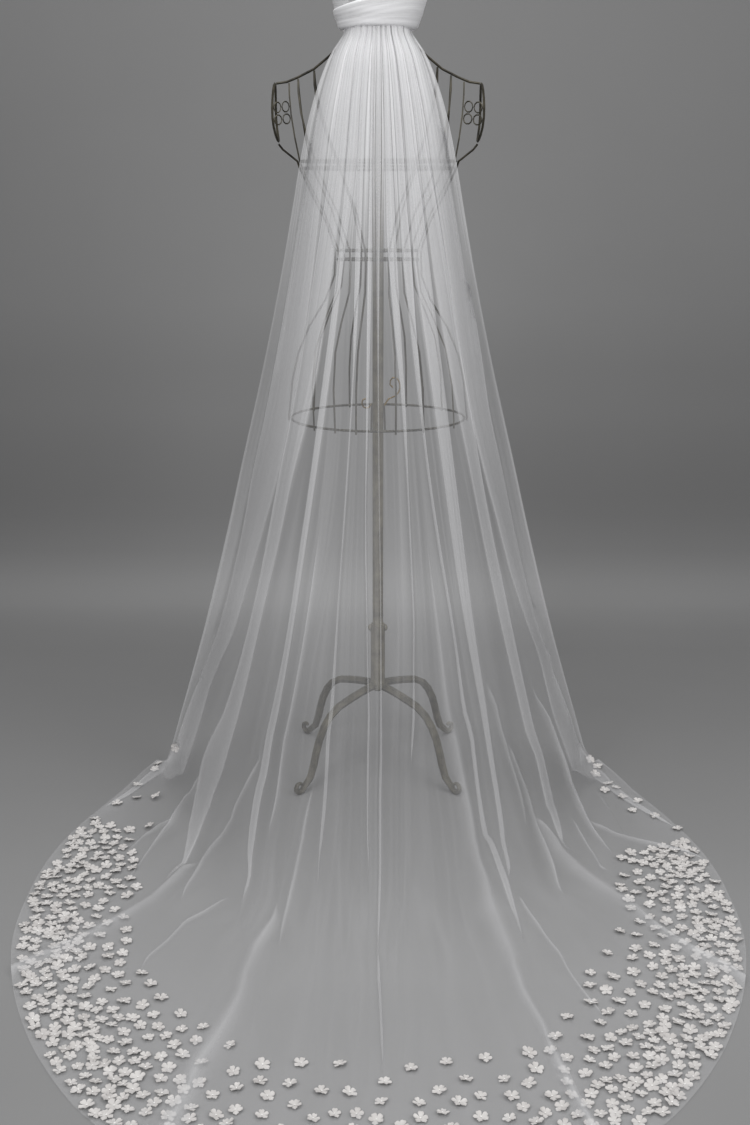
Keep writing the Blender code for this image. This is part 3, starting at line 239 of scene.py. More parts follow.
def curve(table, x, column=1):
    """Reads a table at x, on a smooth curve through one of its columns that never overshoots a row."""
    xs, ys = table[:, 0], table[:, column]
    x = np.clip(np.asarray(x, float), xs[0], xs[-1])
    i = np.clip(np.searchsorted(xs, x, side="right") - 1, 0, len(xs) - 2)
    width = np.diff(xs)
    slope = np.diff(ys) / width
    tangent = np.zeros(len(xs))
    tangent[0], tangent[-1] = slope[0], slope[-1]
    same = slope[:-1] * slope[1:]
    total = np.where(same > 0, slope[:-1] + slope[1:], 1.0)
    tangent[1:-1] = np.where(same > 0, 2 * same / total, 0.0)
    t = (x - xs[i]) / width[i]
    return (ys[i] * (1 + 2 * t) * (1 - t) ** 2 + ys[i + 1] * t * t * (3 - 2 * t)
            + width[i] * (tangent[i] * t * (1 - t) ** 2 + tangent[i + 1] * t * t * (t - 1)))


def hanging(share, z):
    """The smooth hanging cloth at a height."""
    half_width, depth, edge = (curve(FALL, z, k) for k in (1, 2, 3))
    across = np.clip(np.abs(share) / curve(TURN, z), 0, 1)
    bulge = np.sqrt(1 - across ** ROUNDNESS)
    return np.stack((share * half_width, -(edge + (depth - edge) * bulge), z + share * 0), -1)


def hem_point(share):
    """Where the cloth's hem lies on the floor."""
    angle = np.copysign(curve(SPREAD, np.abs(share)), share)
    radius = curve(HEM, np.abs(angle))
    turn = np.radians(angle)
    return np.stack((radius * np.sin(turn), HEM_CENTRE_Y - radius * np.cos(turn), share * 0), -1)


def sheet(share, down):
    """The smooth cloth, for arrays of the same shape."""
    share, down = np.broadcast_arrays(np.asarray(share, float), np.asarray(down, float))
    bend_z, past = curve(BEND, np.abs(share), 1), curve(BEND, np.abs(share), 2)
    foot, hem = hanging(share, share * 0), hem_point(share)
    length = np.linalg.norm(hem - foot, axis=-1)
    flat_from = np.minimum(LONGEST_BEND, past / np.maximum(length, 1e-6))
    hung = hanging(share, TOP_Z + (bend_z - TOP_Z) * np.clip(down, 0, 1))
    top = hanging(share, bend_z)
    end = foot + (hem - foot) * flat_from[..., None]
    t = np.clip(down - 1, 0, 1)[..., None]
    bent = top * (1 - t) ** 2 + foot * 2 * t * (1 - t) + end * t * t
    reach = flat_from + (1 - flat_from) * np.clip(down - 2, 0, 1)
    lying = foot + (hem - foot) * reach[..., None]
    down = down[..., None]
    return np.where(down <= 1, hung, np.where(down <= 2, bent, lying))


def outward(share, down):
    """Out of the cloth, away from the form, and up on the floor."""
    across = sheet(np.minimum(share + STEP, 1), down) - sheet(np.maximum(share - STEP, -1), down)
    along = sheet(share, np.minimum(down + STEP, 2)) - sheet(share, np.maximum(np.minimum(down, 2) - STEP, 0))
    out = np.cross(along, across)
    out /= np.linalg.norm(out, axis=-1, keepdims=True)
    level = np.clip((down - LEVEL_FROM) / (2 - LEVEL_FROM), 0, 1)[..., None]
    out = out * (1 - level) + np.array((0, 0, 1.0)) * level
    return out / np.linalg.norm(out, axis=-1, keepdims=True)


def share_length(share, down):
    """How many metres one unit of "share" is."""
    return np.linalg.norm(sheet(share + STEP, down) - sheet(share - STEP, down), axis=-1) / (2 * STEP)


# One pleat's three layers from left to right, and one crease: way across, height, extra depth
PLEAT_PATH = np.array((
    (0.00, 0.00, 0.0), (0.00, 0.40, 1.1), (0.10, 0.66, 0.2), (0.36, 0.86, 0.0), (0.66, 0.97, 0.0),
    (0.93, 1.00, 0.3), (1.00, 0.88, 1.5), (0.93, 0.74, 0.3), (0.50, 0.52, 0.0), (0.07, 0.28, 0.3),
    (0.00, 0.20, 1.1), (0.08, 0.12, 0.3), (0.50, 0.06, 0.0), (1.00, 0.00, 0.0)))
CREASE_PATH = np.array((
    (0.00, 0.00, 0.0), (0.20, 0.25, 0.3), (0.38, 0.80, 1.2), (0.50, 1.00, 1.9), (0.62, 0.80, 1.2),
    (0.80, 0.25, 0.3), (1.00, 0.00, 0.0)))


def creases_between(pleat_before, left, right):
    """Place and width of the creases in the lane on the right of the pleat named."""
    room = right - left
    found = []
    for _, pleat, rows in CREASES:
        if pleat != pleat_before:
            continue
        table = np.array(rows)
        inside = np.clip(ROWS, table[0, 0], table[-1, 0])
        place = (curve(table, inside, 1) - np.interp(inside, ROWS, left)) / np.interp(inside, ROWS, room)
        width = np.where(inside == ROWS, np.maximum(curve(table, inside, 2), 0), 0.0) / 1000
        if table[-1, 0] > RUNS_TO_HEM:
            width = np.where(ROWS > table[-1, 0], table[-1, 2] / 1000, width)
        found.append((np.clip(place, LANE_MARGIN, 1 - LANE_MARGIN), width))
    found.sort(key=lambda item: float(item[0].mean()))
    for _ in range(12):  # rounds of pushing neighbours apart, the narrower one more
        for (place, width), (next_place, next_width) in zip(found, found[1:]):
            short = np.maximum(0, CREASES_APART - (next_place - place))
            weight = (width + 1e-4) / (width + next_width + 2e-4)
            place -= short * (1 - weight)
            next_place += short * weight
    return [(left + np.clip(place, LANE_MARGIN, 1 - LANE_MARGIN) * room, width) for place, width in found]


def cloth_tracks():
    """Every fold from left to right: its left and right side, its path and how high and open it is."""
    sides = []
    for name, height, rows in PLEATS:
        table = np.array(rows)
        left, right = curve(table, ROWS, 1), curve(table, ROWS, 2)
        open_ = np.clip((right - left) / OPEN_PLEAT, 0, 1)
        short = np.maximum(NARROWEST - (right - left) / 2, 0)
        sides.append((name, height, left - short, right + short, open_))
    tracks = []
    for k, (name, height, left, right, open_) in enumerate(sides):
        mirrored = left[0] + right[0] <= 0
        path = PLEAT_PATH[::-1] * (-1, 1, 1) + (1, 0, 0) if mirrored else PLEAT_PATH
        tracks.append([left, right, path, height * curve(FULLNESS, ROWS) * open_, open_])
        if k + 1 < len(sides):
            for place, width in creases_between(name, right, sides[k + 1][2]):
                half = np.maximum(CREASE_FOOT * width / share_length(place, ROWS), NARROWEST)
                rise = np.minimum(CREASE_RISE * width, CREASE_HEIGHT)
                raised = np.clip(width / OPEN_CREASE, 0, 1)
                tracks.append([place - half, place + half, CREASE_PATH, rise, raised])
    for _ in range(4):  # rounds of parting folds that touch
        for a, b in zip(tracks, tracks[1:]):
            close = a[1] + APART > b[0]
            middle = (a[1] + b[0]) / 2
            a[1] = np.where(close, middle - APART / 2, a[1])
            b[0] = np.where(close, middle + APART / 2, b[0])
            a[0], b[1] = np.minimum(a[0], a[1] - APART), np.maximum(b[1], b[0] + APART)
    return tracks


def cloth_rows():
    """Share, lift and layers of every point of the cloth, row by row."""
    tracks = cloth_tracks()
    plain, pleated, edges = (curve(DEPTH, ROWS, k) for k in (1, 2, 3))
    blocks = []

    def lane(start, end, steps):
        share = start[:, None] + (end - start)[:, None] * (steps / LANE_POINTS)[None, :]
        blocks.append((share, share * 0, share * 0 + plain[:, None]))

    last = np.full_like(ROWS, -1.0)
    for k, (left, right, path, height, open_) in enumerate(tracks):
        pleat = path is not CREASE_PATH
        before = left - last
        after = (tracks[k + 1][0] if k + 1 < len(tracks) else 1.0) - right
        overlap = open_ * pleat
        start = left - overlap * np.minimum(PLEAT_OVERLAP * (right - left), LANE_OVERLAP * before)
        end = right + overlap * np.minimum(PLEAT_OVERLAP * (right - left), LANE_OVERLAP * after)
        straight = np.linspace(0, 1, len(path))
        across = path[None, :, 0] * open_[:, None] + straight * (1 - open_[:, None])
        share = left[:, None] + across * (right - left)[:, None]
        share[:, 0], share[:, -1] = start, end
        lane(last, start, np.arange(1 if k else 0, LANE_POINTS))
        layer = np.where(open_ > 0.5, pleated, plain) if pleat else plain
        layers = layer[:, None] * (1 + path[None, :, 2] * (open_ * edges)[:, None])
        blocks.append((share, path[None, :, 1] * height[:, None], layers))
        last = end
    lane(last, np.ones_like(last), np.arange(1, LANE_POINTS + 1))
    share, lift, layers = (np.concatenate([block[k] for block in blocks], axis=1) for k in range(3))
    sheer = np.clip((np.abs(share) - SIDE_SHARE) / SIDE_BLEND, 0, 1) * curve(SIDE_SHEER, ROWS)[:, None]
    edge = np.clip((np.abs(share) - EDGE_SHARE) / (1 - EDGE_SHARE), 0, 1)
    return share, lift, layers * (1 - sheer) + EDGE_LAYERS * edge


# ---- Paints
class Value:
    """A shader socket that takes part in arithmetic."""

    def __init__(self, paint, socket):
        self.paint, self.socket = paint, socket

    def _math(self, operation, a, b):
        node = self.paint.node("ShaderNodeMath", {"operation": operation}, {0: a, 1: b})
        return Value(self.paint, node.outputs[0])

    def __add__(self, other):
        return self._math("ADD", self, other)

    def __radd__(self, other):
        return self._math("ADD", other, self)

    def __sub__(self, other):
        return self._math("SUBTRACT", self, other)

    def __rsub__(self, other):
        return self._math("SUBTRACT", other, self)

    def __mul__(self, other):
        return self._math("MULTIPLY", self, other)

    def __rmul__(self, other):
        return self._math("MULTIPLY", other, self)

    def __rpow__(self, other):
        return self._math("POWER", other, self)

    def size(self):
        return self._math("ABSOLUTE", self, 0.0)

    def clamped(self, low, high):
        return self._math("MINIMUM", self._math("MAXIMUM", self, low), high)


class Paint:
    """A material built from nodes."""

    def __init__(self, name, **constants):
        self.material = bpy.data.materials.new(name)
        self.material.use_nodes = True
        self.tree = self.material.node_tree
        self.surface = next(n for n in self.tree.nodes if n.type == "BSDF_PRINCIPLED")
        self.set(self.surface, constants)

    def set(self, node, inputs):
        """Links or sets a node's inputs; a name has _ for its blanks."""
        for key, value in inputs.items():
            socket = node.inputs[key.replace("_", " ") if isinstance(key, str) else key]
            if isinstance(value, Value):
                value = value.socket
            if isinstance(value, bpy.types.NodeSocket):
                self.tree.links.new(value, socket)
            else:
                socket.default_value = value

    def node(self, kind, settings, inputs):
        node = self.tree.nodes.new(kind)
        for key, value in settings.items():
            setattr(node, key, value)
        self.set(node, inputs)
        return node

    def attribute(self, name):
        return Value(self, self.node("ShaderNodeAttribute", {"attribute_name": name}, {}).outputs["Fac"])

    def backfacing(self):
        return Value(self, self.node("ShaderNodeNewGeometry", {}, {}).outputs["Backfacing"])

    def coordinates(self, kind, stretch=(1.0, 1.0, 1.0)):
        source = self.node("ShaderNodeTexCoord", {}, {}).outputs[kind]
        stretched = self.node("ShaderNodeVectorMath", {"operation": "MULTIPLY"}, {0: source, 1: stretch})
        return stretched.outputs[0]

    def noise(self, vector, scale, detail=2.0, roughness=0.5):
        inputs = {"Vector": vector, "Scale": scale, "Detail": detail, "Roughness": roughness}
        return Value(self, self.node("ShaderNodeTexNoise", {}, inputs).outputs[0])

    def mix(self, factor, a, b):
        inputs = dict(zip(COLOUR_MIX_INPUTS, (factor, a, b)))
        return self.node("ShaderNodeMix", {"data_type": "RGBA"}, inputs).outputs[COLOUR_MIX_OUTPUT]

    def bump(self, height, strength, distance):
        inputs = {"Height": height, "Strength": strength, "Distance": distance}
        return self.node("ShaderNodeBump", {}, inputs).outputs[0]


# The Mix node's sockets for colours: its factor, first and second colour, and what comes out
COLOUR_MIX_INPUTS, COLOUR_MIX_OUTPUT = (0, 6, 7), 2
TULLE_WHITE = (0.995, 0.995, 1.01)  # a trace cooler than grey
LAYER_SHEER = 0.900  # what one layer of tulle lets through
MOST_HIDDEN = 0.97  # by any depth of tulle
WEAVE_SCALE, WEAVE = 420.0, 0.3  # how much the net's closeness varies
# Threads that run down the cloth: how many across, how fast they change on the way, roughness, strength
THREADS = ((26.0, 1.1, 0.5, 1.0), (95.0, 2.2, 0.6, 0.7))
BRIGHT_THREADS = (19.0, 33.0)  # how many across
BRIGHT_WANDER, BRIGHT_SHARPNESS, BRIGHT_STRENGTH = 0.7, 16.0, 0.75


def tulle_paint(name, pale, closeness=1.0):
    """Sheer by how many layers lie on each other, which is the "cover" of each point."""
    white = [pale * part for part in TULLE_WHITE]
    paint = Paint(name, Base_Color=(*white, 1), Roughness=0.85, Specular_IOR_Level=0.15)
    threads = -1.0
    for across, along, roughness, strength in THREADS:
        vector = paint.coordinates("UV", (across, along, 1.0))
        threads = strength * paint.noise(vector, scale=1.0, roughness=roughness) + threads
    for across in BRIGHT_THREADS:
        vector = paint.coordinates("UV", (across, BRIGHT_WANDER, 1.0))
        wander = paint.noise(vector, scale=1.0, detail=1.0, roughness=0.4)
        bright = (1.0 - BRIGHT_SHARPNESS * (wander - 0.5).size()).clamped(0.0, 1.0)
        threads = BRIGHT_STRENGTH * bright + threads
    weave = 1.0 - WEAVE / 2 + WEAVE * paint.noise(paint.coordinates("Object"), WEAVE_SCALE, detail=1.0)
    layers = paint.attribute("cover") * closeness * (1.0 + paint.attribute("streaks") * threads) * weave
    paint.set(paint.surface, {"Alpha": (1.0 - LAYER_SHEER ** layers).clamped(0.0, MOST_HIDDEN)})
    return paint.material


def flower_paint():
    shaded, pale = (0.41, 0.393, 0.382, 1), (0.58, 0.565, 0.552, 1)
    # The faint emission is a painted glow that lightens the flowers' shadows
    paint = Paint("creamy flower cloth with painted glow", Roughness=0.7, Specular_IOR_Level=0.2,
                  Emission_Color=(1.0, 0.97, 0.95, 1), Emission_Strength=0.05)
    mottle = (1.8 * paint.noise(paint.coordinates("Object"), scale=38.0) - 0.4).clamped(0.0, 1.0)
    grain = paint.noise(paint.coordinates("Object"), scale=900.0)
    paint.set(paint.surface, {"Base_Color": paint.mix(mottle, shaded, pale),
                              "Normal": paint.bump(grain, strength=0.25, distance=0.0004)})
    return paint.material


def bead_paint():
    paint = Paint("pearl bead", Base_Color=(0.93, 0.92, 0.90, 1), Coat_Weight=0.6)
    rubbed = paint.noise(paint.coordinates("Object"), scale=80.0)
    paint.set(paint.surface, {"Roughness": 0.12 + 0.2 * rubbed})
    return paint.material


def metal_paint(name, dark, light, metallic, roughness):
    paint = Paint(name, Metallic=metallic)
    # The paler patches in the colour are painted highlights; the same patches also make the metal rougher
    painted_highlights_and_roughness = paint.noise(paint.coordinates("Object"), scale=38.0, detail=4.0, roughness=0.6)
    pits = paint.noise(paint.coordinates("Object"), scale=420.0)
    paint.set(paint.surface, {"Base_Color": paint.mix((painted_highlights_and_roughness * 2.2 - 0.6).clamped(0.0, 1.0), dark, light),
                              "Roughness": roughness + 0.25 * painted_highlights_and_roughness,
                              "Normal": paint.bump(pits, strength=0.35, distance=0.0006)})
    return paint.material


# ---- Pieces
def placed(name, bm, material):
    """A smooth-shaded object in the scene, made from a bmesh."""
    mesh = bpy.data.meshes.new(name)
    bm.to_mesh(mesh)
    bm.free()
    mesh.polygons.foreach_set("use_smooth", np.ones(len(mesh.polygons), bool))
    mesh.materials.append(material)
    obj = bpy.data.objects.new(name, mesh)
    bpy.context.scene.collection.objects.link(obj)
    return obj


def piece(name, bm, material, nodes):
    """A piece of the part, which has one body."""
    obj = placed(name, bm, material)
    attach(obj, "root")
    if nodes:
        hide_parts(*nodes)
    return obj


def shape(name, bm):
    """A mesh that is copied many times, and is no piece of its own."""
    mesh = bpy.data.meshes.new(name)
    bm.to_mesh(mesh)
    bm.free()
    return mesh


def grid(columns, rows):
    """A sheet of columns x rows points, numbered row by row."""
    bm = bmesh.new()
    bmesh.ops.create_grid(bm, x_segments=columns - 1, y_segments=rows - 1, size=1.0)
    order = sorted(bm.verts, key=lambda v: (-round(v.co.y, 6), round(v.co.x, 6)))
    for k, vert in enumerate(order):
        vert.index = k
    bm.verts.sort()
    return bm


def lay_cloth(bm, place):
    """Gives the cloth its UV map, from each point's number."""
    uv = bm.loops.layers.uv.new("cloth")
    for face in bm.faces:
        for loop in face.loops:
            loop[uv].uv = place(loop.vert.index)


# ---- Veil
GATHERS = 26  # fine gathers under the wrap
GATHER_DEPTH = 0.0012
GATHER_FADE = ((0.0, 0.05, 0.22), (1.0, 0.9, 0.0))  # by "down"
GATHER_COVER = ((0.0, 0.05, 0.25, 0.4), (0.10, 0.08, 0.06, 0.0))
# Soft waves of the plain cloth: height, turns across, turns on the way down, start
SOFT_WAVES = ((0.0016, 31.0, 2.0, 0.0), (0.0022, 13.7, -1.4, 2.0), (0.0012, 53.0, 0.0, 0.7))
SOFT_BY_DOWN = ((0.1, 0.4, 1.6, 2.0, 3.0), (0.0, 1.0, 1.0, 0.35, 0.5))
FLAT_BY_DOWN = ((1.6, 2.0), (0.0, 1.0))
UNDER_WRAP = ((0.0, 0.03, 0.08), (0.0045, 0.0045, 0.0))  # how far the top stands out to meet the wrap
LOWEST = 0.0012  # above the floor
STREAKS = ((0.0, 0.3, 0.5, 0.8, 1.2, 3.0), (0.55, 0.62, 0.50, 0.32, 0.30, 0.20))  # how much the threads show


def gather_ripple(share):
    """The gathers' rise and fall, -1 to 1. Slower waves inside the fast ones make them uneven."""
    phase = 2 * np.pi * (GATHERS / 2 * share + 0.55 * np.sin(7.3 * share) + 0.40 * np.sin(17.0 * share + 1.0))
    return 0.6 * np.sin(phase) + 0.4 * np.sin(1.73 * phase + 2.2 * np.sin(4.1 * share))


def make_veil():
    share, lift, layers = cloth_rows()
    rows, columns = share.shape
    down = np.repeat(ROWS[:, None], columns, 1)
    ripple = gather_ripple(share)
    waves = [size * np.sin(across * share + along * down + start)
             for size, across, along, start in SOFT_WAVES]
    soft = sum(waves) * np.interp(down, *SOFT_BY_DOWN)
    gathers = GATHER_DEPTH * (1 + ripple) * np.interp(down, *GATHER_FADE)
    flat = np.interp(down, *FLAT_BY_DOWN)  # where it lies flat, a wave can only rise
    height = (lift + np.interp(down, *UNDER_WRAP) + gathers + soft * (1 - flat) + np.abs(soft) * flat
              + CLOTH_LIFT)
    point = sheet(share, down) + outward(share, down) * height[..., None]
    point[..., 2] = np.maximum(point[..., 2], LOWEST)
    point[..., 1] += AXIS_Y
    cover = layers * (1 + np.interp(down, *GATHER_COVER) * ripple)
    # The UV map has the cloth opened out: its folded layers lie side by side
    widths = np.abs(np.diff(share, axis=1))[ROWS <= 1].mean(axis=0)
    opened = np.concatenate(((0.0,), np.cumsum(widths)))
    bm = grid(columns, rows)
    for vert in bm.verts:
        vert.co = point[divmod(vert.index, columns)]
    lay_cloth(bm, lambda k: (opened[k % columns], ROWS[k // columns]))
    bmesh.ops.recalc_face_normals(bm, faces=bm.faces)
    if sum(face.normal.z for face in bm.faces) < 0:
        bmesh.ops.reverse_faces(bm, faces=bm.faces)
    obj = piece("tulle_veil", bm, tulle_paint("white tulle", 0.73), ("veil_fall", "veil_train"))
    for name, values in (("cover", cover), ("streaks", np.interp(down, *STREAKS))):
        layer = obj.data.attributes.new(name, "FLOAT", "POINT")
        layer.data.foreach_set("value", values.ravel().astype(np.float32))
    return obj


veil = make_veil()

# ---- Flowers
FLOWER_SEED, SCATTER_SEED, PETAL_SEED = 7, 11, 100
FLOWER_RADIUS = (0.0096, 0.0122)
FLOWER_SHAPES = 4
FLOWER_TILT = 0.22
FLOWER_TRIES = 26000
HEM_MARGIN = 0.013
BAND_END = (-121.0, 112.0)  # degrees round from the front, past which only single flowers lie
BAND_LIFT, SINGLE_LIFT = 0.0008, 0.0012  # above the cloth
SINGLES = (  # share, down
    (-0.973, 2.175), (-0.953, 2.536), (-0.932, 1.744), (-0.936, 2.228), (-0.930, 2.674), (-0.882, 1.814),
    (-0.976, 1.206), (-0.990, 1.900), (0.985, 1.583), (0.980, 1.980), (0.954, 1.920), (0.951, 2.180),
    (0.943, 1.930), (0.949, 2.356), (0.934, 2.709), (0.917, 2.376), (0.909, 2.764), (0.887, 2.945),
    (0.938, 2.358), (0.566, 2.246), (0.548, 2.298), (0.617, 2.226), (0.666, 2.203), (0.741, 2.078),
    (0.812, 2.023), (0.806, 2.241))
# How far apart flowers lie, by degrees round from the front: at the band's inner side, and near the hem
SPACING_INSIDE = ((0, 20, 40, 60, 120, 142), (0.062, 0.052, 0.038, 0.036, 0.033, 0.033))
SPACING_HEM = ((0, 20, 40, 60, 142), (0.027, 0.023, 0.0200, 0.0205, 0.0200))
SPACING_TURN = 1.6  # the hem's spacing is reached at 1 / 1.6 of the way there
SPACING_CHANCE = (0.72, 1.22)
NEAR_CELL = 0.05  # side of the squares in which a flower's neighbours are looked up
# A petal from its root to its tip: way along it, half width, as shares of its length
PETAL = ((0.05, 0.07), (0.38, 0.27), (0.68, 0.41), (0.90, 0.36), (1.00, 0.19))
# How much a petal rises to its tip, curls past a part of its length, and is wider, from least to most
PETAL_CUP, PETAL_CURL, PETAL_WIDE = (0.08, 0.28), (-0.25, 0.15), (0.90, 1.04)
CUP_POWER, CURL_FROM = 1.2, 0.65
PETAL_LIFT, SIDES_LIFT, SIDES_SHORT = 0.05, 0.12, 0.05
PETAL_STRAY = 0.06  # of the way to the next petal
BEAD_RADIUS = (0.0006, 0.0008)
BEAD_LIFT, BEAD_TILT = 0.0010, 0.1
BEAD_RING = 1.05  # radius of the ring, in beads


def flower_shape(which):
    """Five cupped petals, 1 long."""
    chance = random.Random(PETAL_SEED + which)
    bm = bmesh.new()
    for k in range(5):
        petal = bmesh.new()
        bmesh.ops.create_grid(petal, x_segments=4, y_segments=len(PETAL) - 1, size=1.0)
        cup, curl, wide = chance.uniform(*PETAL_CUP), chance.uniform(*PETAL_CURL), chance.uniform(*PETAL_WIDE)
        for vert in petal.verts:
            along, half = PETAL[round((vert.co.y + 1) / 2 * (len(PETAL) - 1))]
            across = vert.co.x
            reach = along - SIDES_SHORT * across * across * along
            height = (PETAL_LIFT + cup * along ** CUP_POWER + SIDES_LIFT * across * across * along
                      + curl * max(0.0, along - CURL_FROM))
            vert.co = Vector((across * half * wide, reach, height))
        turn = 2 * math.pi * (k + chance.uniform(-PETAL_STRAY, PETAL_STRAY)) / 5
        bmesh.ops.rotate(petal, verts=petal.verts, matrix=Matrix.Rotation(turn, 3, "Z"))
        mesh = shape("petal", petal)
        bm.from_mesh(mesh)
        bpy.data.meshes.remove(mesh)
    return shape(f"flower shape {which}", bm)


def bead_shape():
    """Three beads in a ring."""
    bm = bmesh.new()
    for k in range(3):
        turn = 2 * math.pi * k / 3
        place = Matrix.Translation((BEAD_RING * math.cos(turn), BEAD_RING * math.sin(turn), 1.0))
        bmesh.ops.create_icosphere(bm, subdivisions=1, radius=1.0, matrix=place)
    return shape("bead cluster", bm)


def flower_spacing(angle, way):
    """Room that a flower takes, by degrees round and its way from the band's inner side to the hem."""
    inner, outer = np.interp(angle, *SPACING_INSIDE), np.interp(angle, *SPACING_HEM)
    return inner + (outer - inner) * min(1.0, way * SPACING_TURN)


def flower_places():
    """Place, direction out of the cloth and height over it of every flower."""
    chance = random.Random(FLOWER_SEED)
    places = []
    near = {}
    around = [(i, j) for i in range(-2, 3) for j in range(-2, 3)]
    for _ in range(FLOWER_TRIES):
        angle = chance.uniform(*BAND_END)
        inner, outer = float(curve(FLOWER_BAND, abs(angle))), float(curve(HEM, abs(angle))) - HEM_MARGIN
        if outer <= inner:
            continue
        radius = math.sqrt(chance.uniform(inner * inner, outer * outer))
        way = (radius - inner) / (outer - inner)
        space = flower_spacing(abs(angle), way) * chance.uniform(*SPACING_CHANCE)
        x = radius * math.sin(math.radians(angle))
        y = HEM_CENTRE_Y - radius * math.cos(math.radians(angle))
        column, row = int(x // NEAR_CELL), int(y // NEAR_CELL)
        others = [other for i, j in around for other in near.get((column + i, row + j), ())]
        if any((ox - x) ** 2 + (oy - y) ** 2 < (space * 0.5 + room * 0.5) ** 2 for ox, oy, room in others):
            continue
        near.setdefault((column, row), []).append((x, y, space))
        places.append((Vector((x, y, 0.0)), Vector((0, 0, 1)), CLOTH_LIFT + BAND_LIFT))
    for share, down in SINGLES:
        at, out = sheet(np.array(share), np.array(down)), outward(np.array([share]), np.array([down]))[0]
        places.append((Vector(at), Vector(out), CLOTH_LIFT + SINGLE_LIFT))
    return places


def scatter(name, places, shapes, size, material, lift, tilt):
    """One mesh with a shape on every place, turned and leaned by chance."""
    chance = random.Random(SCATTER_SEED)
    bm = bmesh.new()
    for at, out, height in places:
        across = out.cross(Vector((0.3, 1.0, 0.2))).normalized()
        facing = Matrix((across, out.cross(across), out)).transposed().to_4x4()
        leans = chance.uniform(-tilt, tilt), chance.uniform(-tilt, tilt)
        lean = Euler((*leans, chance.uniform(0, 2 * math.pi)))
        mesh = chance.choice(shapes).copy()
        mesh.transform(Matrix.Translation(at + out * (height + lift) + Vector((0, AXIS_Y, 0))) @ facing
                       @ lean.to_matrix().to_4x4() @ Matrix.Scale(chance.uniform(*size), 4))
        bm.from_mesh(mesh)
        bpy.data.meshes.remove(mesh)
    return piece(name, bm, material, ())


places = flower_places()
shapes = [flower_shape(k) for k in range(FLOWER_SHAPES)]
flowers = scatter("five_petal_flowers", places, shapes, FLOWER_RADIUS, flower_paint(), 0.0, FLOWER_TILT)
beads = scatter("bead_hearts", places, [bead_shape()], BEAD_RADIUS, bead_paint(), BEAD_LIFT, BEAD_TILT)

# ---- Neck wrap
SWATHES = (  # name, height of its lower edge at the left and the right, of its upper edge at the left and the
    # right, radius, lean, creases, the node it replaces, how deep its layers are
    ("under_swathe", 1.5330, 1.5230, 1.5900, 1.5700, 0.0690, 0.34, 2, "wrap_under", 0.35),
    ("over_swathe", 1.5035, 1.5035, 1.5420, 1.5820, 0.0740, 0.34, 2, "wrap_over", 1.2),
    ("top_swathe", 1.5880, 1.5880, 1.6110, 1.6110, 0.0800, 0.00, 1, "wrap_top", 0.5),
)
SWATHE_FOOT = 1.5035  # height from which the wrap's lean is reckoned
SWATHE_MIDDLE = 1.55  # height
SWATHE_ARCH = 0.0050
SWATHE_COLUMNS, SWATHE_ROWS = 144, 34
SWATHE_STREAKS = 0.5
EDGE_TUCK = 0.0060  # how far a swathe's edges turn in
CREASE_DEPTH, FINE_DEPTH, FINER = 0.0004, 0.0002, 2.7  # fine creases are 2.7 times as many
SWATHE_LAYERS, SWATHE_CREASE_LAYERS, SWATHE_EDGE_LAYERS = 11, 1.5, 4


def make_swathe(name, low_left, low_right, high_left, high_right, radius, lean, creases, node, deep):
    """One turn of the wrap, with creases that wander up and down as they go round."""
    columns = SWATHE_COLUMNS + 1
    bm = grid(columns, SWATHE_ROWS)
    cover = []
    for vert in bm.verts:
        row, column = divmod(vert.index, columns)
        turn = 2 * math.pi * column / SWATHE_COLUMNS
        way = row / (SWATHE_ROWS - 1)
        x, y = math.cos(turn), math.sin(turn)
        low = low_left + (low_right - low_left) * (x + 1) / 2 + SWATHE_ARCH * (1 - x * x)
        high = high_left + (high_right - high_left) * (x + 1) / 2
        bow = 4 * way * (1 - way)
        wander = 0.35 * math.sin(turn + 1.2) + 0.12 * math.sin(3 * turn)
        crease = math.cos(2 * math.pi * (creases * way + wander))
        fine = math.cos(2 * math.pi * (creases * FINER * way + 0.5 * math.sin(2 * turn)))
        z = low + (high - low) * way
        r = radius + lean * (z - SWATHE_FOOT) - EDGE_TUCK * (1 - bow) ** 6
        r += (CREASE_DEPTH * crease + FINE_DEPTH * fine) * bow
        vert.co = (r * x, r * y + AXIS_Y, z)
        layers = SWATHE_LAYERS + SWATHE_CREASE_LAYERS * crease + SWATHE_EDGE_LAYERS * (1 - bow) ** 2
        cover.append(layers * deep)
    lay_cloth(bm, lambda k: (k // columns / SWATHE_ROWS, k % columns / SWATHE_COLUMNS * 4))
    cover_layer, streak_layer = bm.verts.layers.float.new("cover"), bm.verts.layers.float.new("streaks")
    for vert in bm.verts:
        vert[cover_layer], vert[streak_layer] = cover[vert.index], SWATHE_STREAKS
    bmesh.ops.remove_doubles(bm, verts=bm.verts, dist=1e-6)
    bmesh.ops.recalc_face_normals(bm, faces=bm.faces)
    middle = Vector((0, AXIS_Y, SWATHE_MIDDLE))
    if sum(face.normal.dot(face.calc_center_median() - middle) for face in bm.faces) < 0:
        bmesh.ops.reverse_faces(bm, faces=bm.faces)
    return piece(name, bm, wrap_tulle, (node,))


wrap_tulle = tulle_paint("wound tulle", 0.88, 1.6)
swathes = [make_swathe(*row) for row in SWATHES]
